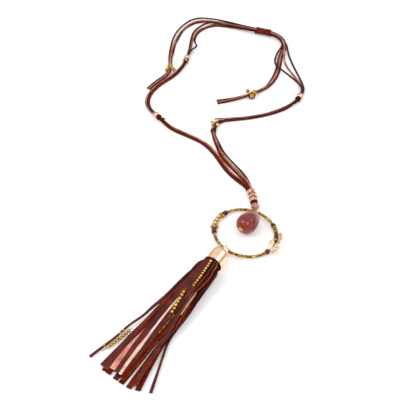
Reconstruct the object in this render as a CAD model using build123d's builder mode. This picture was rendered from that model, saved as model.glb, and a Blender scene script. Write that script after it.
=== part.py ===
from build123d import *
from math import acos, atan2, cos, degrees, hypot, pi, radians, sin, sqrt, tan
import os

# Tassel necklace, lying on a flat surface at Z 0, in millimetres.
# The origin is the middle of the oval hoop, +Y runs up the necklace to the sliding knot.

# Laces
lace_diameter = 1.0
lace_floor = lace_diameter / 2
bend_share = 0.45

# Beads on the laces
rose_bead_diameter = 4.6
rose_bead_3_diameter = 5.0
rose_bead_bore = 2.8
tail_bead_left = 4.6
tail_bead_right = 4.2
tail_bead_bore = 2.8
knot_bore = 2.9
knot_cord = 0.7
slider_diameter = 5.4
slider_length = 14.6
slider_bore = 3.8
slider_turns = 9
slider_height = 2.92

# Bead stack above the hoop
stack_angle = 100
stack_height = 2.7
stack_ring_diameter = 5.3
stack_ring_length = 3.4
stack_ring_bore = 4.0
stack_ring_places = (13.4, 9.6, 5.9)
pink_bead_diameter = 5.4
stack_pin_diameter = 0.7
stack_pin_reach = 4.75
stack_eye_angle = 66.2
eye_radius = 1.15
eye_height = stack_height - eye_radius

# Oval hoop, made of four arcs
hoop_long = 21.8
hoop_short = 19.7
hoop_end_radius = 18.0
hoop_turn = 126
hoop_height = 1.8
hoop_wire_diameter = 0.8
tube_bore = 1.0
tube_diameter = 1.6

# Drop
drop_radius = 6.9
drop_point = (8.0, 14.2, 4.0)
drop_bulb = (0.9, 2.9, 7.18)
drop_bore = 1.2
drop_pin_diameter = 0.7
drop_eye_angle = 61.6

# Tassel
cap_radius = 6.4
cap_wall = 0.5
cap_length = 12.6
cap_rim = (-21.6, -31.2, 6.4)
tassel_angle = 239
strip_thickness = 0.9
strip_root = -2.0
bead_thread = 0.35


def write(part, name):
    part.label = name
    export_step(part, f"parts/{name}.step")


def direction(angle):
    return Vector(cos(radians(angle)), sin(radians(angle)), 0)


def tube_path(points):
    """Straight runs joined by arcs, each arc as large as its two runs allow."""
    points = [Vector(*p) for p in points]
    if len(points) == 2:
        return Edge.make_line(*points), []
    radii = []
    for before, here, after in zip(points, points[1:], points[2:]):
        runs = min((here - before).length, (after - here).length)
        turn = radians((here - before).get_angle(after - here))
        radii.append(bend_share * runs / tan(turn / 2))
    with BuildLine(mode=Mode.PRIVATE) as path:
        FilletPolyline(*points, radius=radii)
    return path.wires()[0], radii


def round_tube(points, diameter, name):
    path, radii = tube_path(points)
    with BuildPart() as tube:
        with BuildLine():
            add(path)
        with BuildSketch(Plane(origin=path @ 0, z_dir=path % 0)):
            Circle(diameter / 2)
        sweep()
    swept = pi * diameter**2 / 4 * path.length
    print(f"{name}: {path.length:.0f} mm, least radius {min(radii):.1f},", end=" ")
    print(f"volume {tube.part.volume:.1f} of {swept:.1f}, radii", [round(r, 1) for r in radii])
    return tube.part


# Bundle courses: the middle of the three laces, then how far each lies to the left of the way the
# bundle runs, and its height. Both run from the stack, round one side and through the sliding knot.
# x, y, dark side, dark height, rose side, rose height, russet side, russet height
left_course = [
    (6.6, 27.2, 1.1, 3.25, 0.0, 2.15, 1.1, 2.15),
    (4.2, 41.0, 1.1, 3.25, 0.0, 2.15, 1.1, 2.15),
    (-3.2, 50.1, 0.1, 1.6, -1.2, 0.5, 1.3, 0.5),
    (-10.3, 58.8, 0.0, 0.5, -1.15, 0.5, 1.15, 0.5),
    (-15.0, 68.3, 0.0, 0.5, -1.15, 0.5, 1.15, 0.5),
    (-20.0, 78.8, 0.0, 0.5, -1.15, 0.5, 1.15, 0.5),
    (-27.5, 89.3, 0.0, 0.5, -1.2, 0.5, 1.15, 0.5),
    (-40.5, 97.8, 0.0, 0.5, -1.3, 0.5, 1.2, 0.5),
    (-51.0, 104.3, 0.0, 0.5, -1.3, 0.5, 1.25, 0.5),
    (-58.3, 112.1, 0.0, 2.9, -0.65, 1.95, 0.65, 1.95),
    (-67.5, 123.8, 0.0, 2.9, -0.65, 1.95, 0.65, 1.95),
    (-70.8, 134.8, 0.0, 0.5, -1.25, 0.5, 1.25, 0.5),
    (-68.3, 146.3, 0.0, 0.5, -1.2, 0.5, 1.2, 0.5),
    (-60.5, 157.3, 0.0, 0.5, -1.2, 0.5, 1.2, 0.5),
    (-50.5, 166.8, 0.0, 0.5, -1.25, 0.5, 1.25, 0.5),
    (-42.6, 179.3, 0.0, 2.9, -0.65, 1.95, 0.65, 1.95),
    (-39.2, 195.1, 0.0, 3.0, -0.65, 1.95, 0.65, 1.95),
    (-38.5, 203.3, -4.0, 1.9, -0.6, 0.5, 0.6, 0.5),
    (-37.3, 211.8, -1.3, 0.5, 0.0, 0.5, 1.2, 0.5),
    (-33.8, 224.8, -1.4, 0.5, 0.2, 0.5, 2.5, 0.5),
    (-21.5, 234.8, -2.0, 0.5, 0.0, 0.5, 4.2, 0.5),
    (-8.0, 233.4, -2.6, 0.5, 0.0, 0.5, 2.6, 0.5),
    (7.0, 225.7, -1.1, 2.37, 0.0, 2.37, 1.1, 2.37),
    (32.6, 216.9, -1.1, 2.37, 0.0, 2.37, 1.1, 2.37),
    (37.9, 205.0, -1.1, 0.5, 0.0, 0.5, 1.1, 0.5),
    (33.0, 191.3, -1.2, 0.5, 0.0, 0.5, 1.2, 0.5),
    (31.0, 176.8, -1.3, 0.5, 0.0, 0.5, 1.4, 0.5),
    (27.0, 162.8, -1.6, 0.5, 0.0, 0.5, 1.8, 0.5),
    (19.4, 148.6, -0.65, 1.8, 0.0, 2.75, 0.65, 1.8),
    (2.4, 139.5, -0.65, 1.8, 0.0, 2.75, 0.65, 1.8),
    (-8.0, 136.8, -1.35, 0.5, 0.0, 0.5, 1.3, 0.5),
    (-17.5, 134.6, -2.0, 0.5, -0.3, 0.5, 1.6, 0.5),
]
right_course = [
    (6.6, 27.2, -1.1, 2.15, -1.1, 3.25, 0.0, 3.25),
    (4.1, 41.4, -1.1, 2.15, -1.1, 3.25, 0.0, 3.25),
    (-1.5, 53.3, -3.8, 0.5, -1.9, 0.95, 0.0, 0.5),
    (-10.0, 65.4, -4.2, 0.5, -1.8, 0.5, 0.0, 0.5),
    (-16.2, 76.8, -3.4, 0.5, -1.4, 0.5, 0.0, 0.5),
    (-19.3, 88.8, -2.6, 0.5, -1.35, 0.5, 0.0, 0.5),
    (-20.5, 96.8, -0.65, 1.6, 0.0, 2.55, 0.65, 1.6),
    (-20.3, 104.0, -0.8, 1.6, 0.4, 2.65, 0.65, 1.35),
    (-18.7, 111.6, -2.8, 1.7, 2.6, 2.5, 0.1, 0.5),
    (-11.0, 114.4, -1.3, 0.5, 1.4, 0.5, 0.0, 0.5),
    (3.0, 116.0, -1.15, 0.5, 1.15, 0.5, 0.0, 0.5),
    (16.5, 119.3, -1.15, 0.5, 1.15, 0.5, 0.0, 0.5),
    (29.5, 124.8, -1.25, 0.5, 1.25, 0.5, 0.0, 0.5),
    (41.8, 132.6, -0.65, 2.15, 0.65, 2.15, 0.0, 3.1),
    (48.4, 146.3, -0.65, 2.15, 0.65, 2.15, 0.0, 3.1),
    (46.2, 157.8, -1.8, 0.5, -0.3, 0.5, 2.4, 2.2),
    (40.8, 169.3, -4.1, 0.5, 0.0, 0.5, 5.3, 2.8),
    (36.0, 180.8, -5.7, 0.5, 0.0, 0.5, 8.8, 1.8),
    (35.8, 193.8, -3.6, 1.0, 0.0, 1.65, 5.6, 1.2),
    (37.6, 205.0, -1.1, 1.75, 0.0, 1.75, 1.1, 1.75),
    (32.6, 216.9, -1.1, 3.47, 0.0, 3.47, 1.1, 3.47),
    (7.0, 225.7, -1.1, 3.47, 0.0, 3.47, 1.1, 3.47),
    (-8.0, 233.4, -2.6, 1.65, 0.0, 1.65, 2.6, 1.65),
    (-21.5, 237.1, -3.0, 2.1, 0.0, 2.1, 1.6, 2.1),
    (-35.0, 240.1, -2.8, 0.9, 1.4, 0.9, 2.9, 0.9),
    (-45.3, 230.1, -1.9, 0.5, 1.1, 0.5, 2.4, 0.5),
    (-50.6, 216.8, -2.0, 0.5, 1.1, 0.5, 2.3, 0.5),
    (-53.0, 202.8, -1.4, 0.5, 0.4, 0.5, 1.6, 0.5),
    (-54.0, 190.8, -1.25, 0.5, 0.0, 0.5, 1.25, 0.5),
    (-54.2, 181.8, -0.65, 1.95, 0.0, 2.9, 0.65, 1.95),
    (-53.8, 170.3, -0.65, 1.95, 0.0, 2.9, 0.65, 1.95),
    (-58.2, 165.0, -1.3, 0.5, 0.0, 0.5, 1.3, 0.5),
    (-64.8, 158.2, -1.1, 0.5, 0.0, 0.5, 1.1, 0.5),
    (-70.0, 150.3, -1.1, 0.5, 0.0, 0.5, 1.1, 0.5),
]
lace_columns = {"dark": 2, "rose": 4, "russet": 6}


def lace_route(course, lace):
    """A lace's points: each course point moved sideways, so that straight runs stay parallel."""
    column = lace_columns[lace]
    places = [Vector(row[0], row[1]) for row in course]
    ways = [(b - a).normalized() for a, b in zip(places, places[1:])]
    lefts = [Vector(-way.Y, way.X) for way in ways]
    lefts = [lefts[0]] + [(a + b) / (1 + a.dot(b)) for a, b in zip(lefts, lefts[1:])] + [lefts[-1]]
    route = []
    for row, place, left in zip(course, places, lefts):
        spot = place + left * row[column]
        route.append((spot.X, spot.Y, row[column + 1]))
    return route


def course_spot(course, row, share, height):
    """A plane across the bundle, part of the way from one course point to the next."""
    here = Vector(course[row][0], course[row][1], height)
    there = Vector(course[row + 1][0], course[row + 1][1], height)
    return Plane(origin=here + (there - here) * share, z_dir=there - here)


def round_bead(place, diameter, bore):
    with BuildPart(place) as bead:
        Sphere(diameter / 2)
        Cylinder(bore / 2, diameter + 1, mode=Mode.SUBTRACT)
    return bead.part


def barrel_bead(place, diameter, length, bore, edge):
    with BuildPart(place) as bead:
        Cylinder(diameter / 2, length)
        fillet(bead.edges().filter_by(GeomType.CIRCLE), edge)
        Cylinder(bore / 2, length + 1, mode=Mode.SUBTRACT)
    return bead.part


def wrapped_knot(place, bore, cord):
    """Two turns of lace wound round the bundle."""
    with BuildPart(place) as knot:
        with Locations((0, 0, -0.42 * cord), (0, 0, 0.42 * cord)):
            Torus(bore / 2 + cord / 2, cord / 2)
    return knot.part


def tie_frame(place):
    """A plane across the laces with Y upwards, for beads tied round them."""
    return Plane(origin=place.origin, x_dir=Vector(0, 0, 1).cross(place.z_dir), z_dir=place.z_dir)


def tied_beads(place, reach, beads, bore):
    """Beads side by side round a bundle. beads: (angle round the bundle, diameter)"""
    frame = tie_frame(place)
    with BuildPart() as tied:
        for angle, diameter in beads:
            out = Vector(cos(radians(angle)), sin(radians(angle)))
            spot = frame.from_local_coords(out * reach)
            along = frame.from_local_coords(Vector(-out.Y, out.X)) - frame.origin
            add(round_bead(Plane(origin=spot, z_dir=along), diameter, bore))
    return tied.part


def tie_thread(place, reach, first, last):
    """The thread of the tied beads: an arc over the bundle."""
    frame = tie_frame(place)
    angles = (first, (first + last) / 2, last)
    ends = [frame.from_local_coords(direction(angle) * reach) for angle in angles]
    with BuildPart() as thread:
        with BuildLine() as arc:
            ThreePointArc(*ends)
        with BuildSketch(Plane(origin=arc.line @ 0, z_dir=arc.line % 0)):
            Circle(bead_thread / 2)
        sweep()
    return thread.part


# Hoop outline
hoop_side_radius = (hoop_short**2 + (hoop_long - hoop_end_radius) ** 2 - hoop_end_radius**2) / (
    2 * (hoop_short - hoop_end_radius)
)
end_centre = hoop_long - hoop_end_radius
side_centre = hoop_side_radius - hoop_short
joint_way = atan2(side_centre, end_centre)
hoop_joint = degrees(
    atan2(hoop_end_radius * sin(joint_way), end_centre + hoop_end_radius * cos(joint_way))
)


def hoop_point(angle):
    """The hoop's middle line at an angle seen from its centre."""
    local = (angle - hoop_turn + 180) % 360 - 180
    way = Vector(cos(radians(local)), sin(radians(local)))
    if abs(local) <= hoop_joint:
        centre, radius = Vector(end_centre, 0), hoop_end_radius
    elif abs(local) >= 180 - hoop_joint:
        centre, radius = Vector(-end_centre, 0), hoop_end_radius
    elif local > 0:
        centre, radius = Vector(0, -side_centre), hoop_side_radius
    else:
        centre, radius = Vector(0, side_centre), hoop_side_radius
    reach = centre.dot(way) + sqrt(centre.dot(way) ** 2 - centre.dot(centre) + radius**2)
    return direction(angle) * reach + Vector(0, 0, hoop_height)


def hoop_plane(angle):
    """A plane across the hoop, with X inwards and Y upwards."""
    way = (hoop_point(angle + 0.2) - hoop_point(angle - 0.2)).normalized()
    return Plane(origin=hoop_point(angle), x_dir=Vector(-way.Y, way.X), z_dir=way)


def hoop_arcs(first, last, raise_by=0.0, push_in=0.0):
    """Arcs along the hoop between two angles, broken where its radius changes."""
    joints = [hoop_turn + side + sign * hoop_joint for side in (-360, -180, 0, 180) for sign in (-1, 1)]
    stops = [first] + sorted(a for a in joints if first + 1 < a < last - 1) + [last]
    for a, b in zip(stops, stops[1:]):
        spots = []
        for angle in (a, (a + b) / 2, b):
            frame = hoop_plane(angle)
            spots.append(frame.origin + frame.x_dir * push_in + Vector(0, 0, raise_by))
        ThreePointArc(*spots)


def hoop_tube(first, last, outer, inner):
    with BuildPart() as tube:
        with BuildLine() as arcs:
            hoop_arcs(first, last)
        with BuildSketch(Plane(origin=arcs.line @ 0, z_dir=arcs.line % 0)):
            Circle(outer / 2)
            if inner:
                Circle(inner / 2, mode=Mode.SUBTRACT)
        sweep()
    return tube.part


def stack_spot(along):
    """A place on the stack's axis, measured up from the middle of the pink bead."""
    way = direction(stack_angle)
    loop = hoop_point(stack_eye_angle)
    bead = Vector(loop.X, loop.Y, stack_height) + way * stack_pin_reach
    return Plane(origin=bead + way * along, z_dir=way)


def wire_ring(place, radius, wire):
    with BuildPart(place) as ring:
        Torus(radius, wire / 2)
    return ring.part


def eye_frame(origin, way):
    """The plane of an upright wire eye that hangs on the hoop and faces along a way."""
    flat = Vector(way.X, way.Y).normalized()
    return Plane(origin=origin, x_dir=flat, z_dir=Vector(flat.Y, -flat.X))


# Tassel frame: along runs from the cap's rim to the tips, across to the right of it
tassel_way = direction(tassel_angle)
tassel_right = Vector(-tassel_way.Y, tassel_way.X)
tassel_right = tassel_right if tassel_right.X > 0 else tassel_right * -1


def tassel_spot(along, across, height):
    return Vector(cap_rim[0], cap_rim[1]) + tassel_way * along + tassel_right * across + Vector(0, 0, height)


# The packed middle of the tassel: along, half width, half height, height of its middle, across
core_sections = [
    (-9.0, 5.2, 5.2, 6.4, 0.0),
    (0.0, 5.2, 5.2, 6.4, 0.0),
    (18.0, 6.0, 4.3, 5.4, -0.4),
    (38.0, 7.2, 2.7, 3.4, -1.4),
    (58.0, 8.0, 1.3, 1.6, -2.6),
]
# Strips: angle round the head, across at 58, across at the tip, height at the tip, width, length
strips = [
    (188, -13.6, -17.4, 0.5, 3.0, 96.5),
    (158, -11.2, -14.2, 1.2, 2.6, 96.0),
    (205, -10.0, -12.2, 0.5, 3.0, 98.0),
    (140, -8.2, -10.4, 2.0, 2.8, 95.5),
    (112, -5.0, -6.4, 2.4, 4.4, 97.0),
    (92, -2.4, -3.6, 2.6, 2.4, 95.5),
    (68, -0.4, -1.4, 2.0, 2.8, 96.5),
    (250, -5.0, -6.5, 0.5, 3.4, 97.0),
    (275, -1.5, -2.0, 0.5, 3.4, 99.5),
    (50, 1.6, 2.0, 1.4, 2.8, 97.5),
    (30, 3.6, 5.6, 1.8, 3.2, 99.5),
    (300, 2.4, 4.0, 0.5, 3.2, 100.0),
    (8, 5.4, 9.6, 0.8, 3.4, 100.3),
    (330, 6.6, 17.0, 0.5, 1.8, 97.5),
]
loose_strip_reach = (-18.0, -22.2, -27.0)
loose_strip_height = (2.2, 0.7, 0.5)


def core_at(along):
    for a, b in zip(core_sections, core_sections[1:]):
        if along <= b[0]:
            share = (along - a[0]) / (b[0] - a[0])
            return [x + (y - x) * share for x, y in zip(a, b)]
    return list(core_sections[-1])


def skin_spot(along, angle):
    """A place on the packed middle's skin, at an angle round it."""
    _, wide, high, middle, across = core_at(along)
    return across + wide * cos(radians(angle)), middle + high * sin(radians(angle))


def strip_sections(angle, belly, tip, tip_height, width, length):
    """Rows of along, across, height, tilt for one strip, from the head to its cut end."""
    rows = []
    seat = sqrt((cap_radius - cap_wall - 0.15) ** 2 - (width / 2) ** 2) - strip_thickness / 2
    for along in (strip_root, 0.5):
        across, height = seat * cos(radians(angle)), cap_rim[2] + seat * sin(radians(angle))
        rows.append((along, across, height, angle % 180 - 90))
    for along, tilt_share in ((18.0, 0.8), (38.0, 0.5)):
        across, height = skin_spot(along, angle)
        rows.append((along, across, height, (angle % 180 - 90) * tilt_share))
    rows.append((60.0, belly, max(skin_spot(58, angle)[1], tip_height), 0))
    rows.append((length, tip, tip_height, 0))
    return rows


def strip_face(along, across, height, tilt, width):
    reach = width / 2 * abs(sin(radians(tilt))) + strip_thickness / 2 * cos(radians(tilt))
    centre = tassel_spot(along, across, max(height, reach))
    flat = tassel_right * cos(radians(tilt)) + Vector(0, 0, sin(radians(tilt)))
    return Plane(origin=centre, x_dir=flat, z_dir=tassel_way)


def cut_strip(rows, width):
    with BuildPart() as strip:
        for start, end in zip(rows, rows[1:]):
            for row in (start, end):
                with BuildSketch(strip_face(*row, width)):
                    Rectangle(width, strip_thickness)
            loft(ruled=True)
    return strip.part


def tassel_skirt():
    with BuildPart() as skirt:
        for start, end in zip(core_sections, core_sections[1:]):
            for along, wide, high, middle, across in (start, end):
                centre = tassel_spot(along, across, middle)
                with BuildSketch(Plane(origin=centre, x_dir=tassel_right, z_dir=tassel_way)):
                    RegularPolygon(1, 12, rotation=15)
                    scale(by=(wide, high, 1))
            loft(ruled=True)
        for strip in strips:
            add(cut_strip(strip_sections(*strip), strip[4]))
        loose = [(strip_root, -5.1, cap_rim[2], -88), (0.5, -5.1, cap_rim[2], -88)]
        loose.append((30.0, -8.4, 4.6, -40))
        for along, reach, height in zip((58.0, 76.0, 94.0), loose_strip_reach, loose_strip_height):
            loose.append((along, reach, height, 0))
        add(cut_strip(loose, 1.6))
    return skirt.part


def bead_row(points, diameter, count, gap):
    """Drilled beads and their thread along a path of two or more points."""
    path, _ = tube_path(points)
    beads = []
    for number in range(count):
        reach = (number + 1.0) * (diameter + gap)
        spot = path.position_at(reach, position_mode=PositionMode.LENGTH)
        way = path.tangent_at(reach, position_mode=PositionMode.LENGTH)
        beads.append(round_bead(Plane(origin=spot, z_dir=way), diameter, bead_thread + 0.3))
    return beads


def thread_tube(points):
    path, _ = tube_path(points)
    with BuildPart() as thread:
        with BuildLine():
            add(path)
        with BuildSketch(Plane(origin=path @ 0, z_dir=path % 0)):
            Circle(bead_thread / 2)
        sweep()
    return thread.part


def joined(parts):
    return Compound(children=parts)


os.makedirs("parts", exist_ok=True)

# Laces
for side, course in (("left", left_course), ("right", right_course)):
    for lace in lace_columns:
        name = f"lace_{side}_{lace}"
        write(round_tube(lace_route(course, lace), lace_diameter, name), name)

# Sliding knot: nine turns of cord with a thicker turn at each end
slider_place = course_spot(left_course, 22, 0.54, slider_height)
turn_pitch = slider_length / slider_turns
with BuildPart(slider_place) as slider:
    Cylinder(slider_diameter / 2 - 0.35, slider_length - turn_pitch / 2)
    for number in range(slider_turns):
        bulge = 0.2 if number in (0, slider_turns - 1) else 0.0
        with Locations((0, 0, (number - (slider_turns - 1) / 2) * turn_pitch)):
            Torus(slider_diameter / 2 - turn_pitch / 2 + bulge, turn_pitch / 2)
    Cylinder(slider_bore / 2, slider_length + 2, mode=Mode.SUBTRACT)
write(slider.part, "slider_knot")

# Rose beads, each with a knot below it
write(round_bead(course_spot(left_course, 15, 0.5, 2.3), rose_bead_diameter, rose_bead_bore), "rose_bead_1")
write(round_bead(course_spot(left_course, 9, 0.5, 2.3), rose_bead_diameter, rose_bead_bore), "rose_bead_2")
write(round_bead(course_spot(right_course, 13, 0.5, 2.5), rose_bead_3_diameter, 3.0), "rose_bead_3")
gold_place = tie_frame(course_spot(left_course, 15, 0.13, 2.3))
with BuildPart(gold_place) as small_gold_bead:
    Torus(knot_bore / 2 + 0.38, 0.15)
    with Locations((-0.4, knot_bore / 2 + 1.13)):
        Sphere(0.95)
write(small_gold_bead.part, "small_gold_bead")
write(wrapped_knot(course_spot(left_course, 15, 0.27, 2.3), knot_bore, knot_cord), "lace_knot_1")
write(wrapped_knot(course_spot(left_course, 9, 0.26, 2.3), knot_bore, knot_cord), "lace_knot_2")
write(wrapped_knot(course_spot(right_course, 13, 0.25, 2.5), knot_bore, knot_cord), "lace_knot_3")
write(wrapped_knot(course_spot(right_course, 6, 0.5, 2.15), knot_bore, knot_cord), "lace_knot_4")


def lace_spot(course, lace, near):
    """The place and way of a lace, level with a point beside it."""
    path, _ = tube_path(lace_route(course, lace))
    shares = [number / 2000 for number in range(2001)]
    share = min(shares, key=lambda s: (path @ s - Vector(*near)).length)
    return Plane(origin=path @ share, z_dir=path % share)


# Cluster at the inner bend: a pearl and a gold bead on one lace, a rose bead on its neighbour
write(round_bead(lace_spot(right_course, "rose", (-20.8, 110.6, 2.5)), 3.6, 1.6), "side_pearl")
write(round_bead(lace_spot(right_course, "rose", (-21.3, 107.2, 2.6)), 2.4, 1.5), "side_gold_bead")
write(round_bead(lace_spot(right_course, "dark", (-18.0, 107.6, 1.7)), 3.2, 1.6), "rose_bead_4")

# Gold beads that end the two tails, and smaller ones tied round the laces below them
left_tail = course_spot(right_course, 29, 0.5, 2.3)
left_tie = course_spot(right_course, 29, 0.86, 2.3)
right_tail = course_spot(left_course, 28, 0.5, 2.15)
right_tie = course_spot(left_course, 28, 0.72, 2.15)
write(round_bead(left_tail, tail_bead_left, tail_bead_bore), "left_tail_bead")
write(round_bead(right_tail, tail_bead_right, tail_bead_bore), "right_tail_bead")
left_tied = ((-6, 2.7), (84, 3.2), (186, 2.7))
right_tied = ((18, 3.8), (164, 3.1))
write(tied_beads(left_tie, 3.0, left_tied, 1.4), "left_tie_beads")
write(tie_thread(left_tie, 3.0, -20, 200), "left_tie_thread")
write(tied_beads(right_tie, 3.3, right_tied, 1.8), "right_tie_beads")
write(tie_thread(right_tie, 3.3, 2, 180), "right_tie_thread")

# Stack of three rose rings, the lace knot below them and the pink bead
for number, along in enumerate(stack_ring_places, start=1):
    ring = barrel_bead(stack_spot(along), stack_ring_diameter, stack_ring_length, stack_ring_bore, 0.6)
    write(ring, f"stack_ring_{number}")
with BuildPart(stack_spot(3.35)) as stack_knot:
    Cylinder(2.3, 1.1)
    fillet(stack_knot.edges().filter_by(GeomType.CIRCLE), 0.2)
    Cylinder(stack_pin_diameter / 2 + 0.1, 2, mode=Mode.SUBTRACT)
write(stack_knot.part, "stack_knot")
write(round_bead(stack_spot(0), pink_bead_diameter, stack_pin_diameter + 0.4), "pink_bead")

# Pin through the pink bead, ending in an eye round the hoop's wire

def eyed_pin(start, eye, diameter):
    """A straight pin that ends in an upright eye, bent on nearly to a full turn."""
    frame = eye_frame(eye, start - eye)
    with BuildPart() as pin:
        with BuildLine() as wire:
            Line(start, frame.from_local_coords(Vector(0, eye_radius)))
            with BuildLine(frame, mode=Mode.PRIVATE) as bend:
                CenterArc((0, 0), eye_radius, 90, 325)
            add(bend.line)
        with BuildSketch(Plane(origin=start, z_dir=eye + Vector(0, 0, eye_radius) - start)):
            Circle(diameter / 2)
        sweep()
    return pin.part


loop = hoop_point(stack_eye_angle)
stack_eye = Vector(loop.X, loop.Y, eye_height)
write(eyed_pin(stack_spot(3.8).origin, stack_eye, stack_pin_diameter), "stack_pin")
write(wire_ring(hoop_plane(70.6), 0.8, 0.6), "top_loop")

# Hoop: a wire with brass tubes, burgundy beads, discs and an openwork link threaded on it
with BuildPart() as hoop_wire:
    with BuildLine() as hoop_line:
        hoop_arcs(-90, 90)
        hoop_arcs(90, 270)
    with BuildSketch(Plane(origin=hoop_line.line @ 0, z_dir=hoop_line.line % 0)):
        Circle(hoop_wire_diameter / 2)
    sweep()
write(hoop_wire.part, "hoop_wire")
# name, from angle, to angle
brass_tubes = [
    ("tube_right", 21.6, 59.6),
    ("tube_top", 72.6, 121.4),
    ("tube_left", 181.2, 221.5),
    ("tube_bottom", 238.2, 285.5),
    ("tube_lower", 286.5, 305.6),
]
for name, first, last in brass_tubes:
    write(hoop_tube(first, last, tube_diameter, tube_bore), name)
# number, angle, length, diameter
burgundy_beads = [(1, 17.6, 2.3, 3.3), (3, 309.6, 2.4, 3.2), (4, 174.4, 4.2, 3.5), (5, 127.0, 3.4, 3.5)]
for number, angle, length, wide in burgundy_beads:
    bead = barrel_bead(hoop_plane(angle), wide, length, tube_bore + 0.2, 0.5)
    write(bead, f"burgundy_bead_{number}")
# The second bead is long, with a tapered end piece
long_bead = barrel_bead(hoop_plane(-10.3), 3.0, 4.4, tube_bore + 0.25, 0.5)
with BuildPart(hoop_plane(-20.4)) as taper:
    Cone(0.85, 1.45, 2.3)
    Cylinder(0.6, 4, mode=Mode.SUBTRACT)
write(joined([long_bead, taper.part]), "burgundy_bead_2")
# angle, diameter: gold and burgundy discs in turn
discs = [(12.2, 3.3), (9.4, 2.9), (6.6, 3.3), (3.8, 2.9), (1.0, 3.3)]
disc_parts = [barrel_bead(hoop_plane(angle), wide, 0.85, tube_bore + 0.1, 0.2) for angle, wide in discs]
write(joined(disc_parts), "spacer_discs")

# Openwork link: two rails, an eye at each end and cross bars that carry three clear stones
link_from, link_to, link_half = 132.6, 167.0, 1.5
stone_angles = (141.0, 149.8, 158.6)
with BuildPart() as link:
    for push in (-link_half, link_half):
        with BuildLine() as rail:
            hoop_arcs(link_from, link_to, 0.25, push)
        with BuildSketch(Plane(origin=rail.line @ 0, z_dir=rail.line % 0)):
            Circle(0.45)
        sweep()
    for angle in (link_from + 1.2, link_to - 1.2):
        with BuildSketch(hoop_plane(angle)):
            with Locations((0, 0.1)):
                SlotOverall(2 * link_half + 1.2, 1.7)
            Circle(tube_bore / 2, mode=Mode.SUBTRACT)
        extrude(amount=0.6, both=True)
    for angle in stone_angles:
        with BuildSketch(hoop_plane(angle)):
            with Locations((0, 0.72)):
                Rectangle(2 * link_half, 0.4)
        extrude(amount=0.9, both=True)
    for angle in (link_from + 1.2, link_to - 1.2):
        frame = hoop_plane(angle)
        for push in (-link_half - 0.5, link_half + 0.5):
            with BuildSketch(Plane(origin=frame.origin + frame.x_dir * push)):
                Circle(0.8)
                Circle(0.25, mode=Mode.SUBTRACT)
            extrude(amount=0.35, both=True)
write(link.part, "filigree_link")


def cut_stone(place, width, height):
    """Eight sided stone: table, girdle and a small culet."""
    with BuildPart() as stone:
        for share, across in ((0.0, 0.3), (0.62, 1.0), (1.0, 0.6)):
            with BuildSketch(place.offset(height * share)):
                RegularPolygon(width / 2 * across, 8)
        loft(ruled=True)
    return stone.part


stone_parts = []
for angle in stone_angles:
    seat = hoop_point(angle) + Vector(0, 0, 1.03)
    stone_parts.append(cut_stone(Plane(origin=seat), 1.8, 1.1))
write(joined(stone_parts), "clear_stones")

# Pearls and a gold bead on their own thin wire, which crosses over the hoop
pearl_wire_diameter = 0.4
# x, y, z, diameter
pearl_places = [
    (23.3, -2.2, 2.4, 2.2),
    (22.9, -5.6, 2.5, 2.5),
    (20.3, -13.1, 2.8, 3.3),
    (19.3, -17.1, 2.9, 3.9),
    (15.9, -14.6, 4.3, 3.8),
    (16.8, -10.9, 4.15, 3.4),
]
wire_route = [
    (23.3, -0.6, 2.4),
    (23.0, -6.8, 2.5),
    (20.6, -12.2, 2.8),
    (18.8, -19.9, 2.9),
    (15.6, -17.8, 4.0),
    (16.0, -14.0, 4.35),
    (17.1, -8.8, 3.95),
]
wire_path, _ = tube_path(wire_route)
with BuildPart() as pearl_wire:
    with BuildLine():
        add(wire_path)
    with BuildSketch(Plane(origin=wire_path @ 0, z_dir=wire_path % 0)):
        Circle(pearl_wire_diameter / 2)
    sweep()
write(pearl_wire.part, "pearl_wire")
pearl_parts = []
for x, y, z, wide in pearl_places:
    shares = [number / 400 for number in range(401)]
    share = min(shares, key=lambda s: (wire_path @ s - Vector(x, y, z)).length)
    place = Plane(origin=wire_path @ share, z_dir=wire_path % share)
    pearl_parts.append(round_bead(place, wide, 1.6 if wide == 3.9 else 1.2))
write(joined(pearl_parts), "pearls")

# Drop: an egg drilled along its axis
drop_axis = Vector(*drop_point) - Vector(*drop_bulb)
drop_length = drop_axis.length
drop_place = Plane(origin=Vector(*drop_bulb), z_dir=drop_axis)
with BuildPart() as drop:
    with BuildSketch(Plane.XZ):
        with BuildLine():
            CenterArc((0, 0), drop_radius, 270, 90)
            shoulder = (2.0, drop_length - 0.7)
            Bezier((drop_radius, 0), (drop_radius, 0.4 * drop_length), (3.9, 0.82 * drop_length), shoulder)
            Line(shoulder, (1.2, drop_length))
            Line((1.2, drop_length), (0, drop_length))
            Line((0, drop_length), (0, -drop_radius))
        make_face()
    revolve(axis=Axis.Z)
    Cylinder(drop_bore / 2, 4 * drop_length, mode=Mode.SUBTRACT)
write(drop_place.location * drop.part, "stone_drop")

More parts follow.
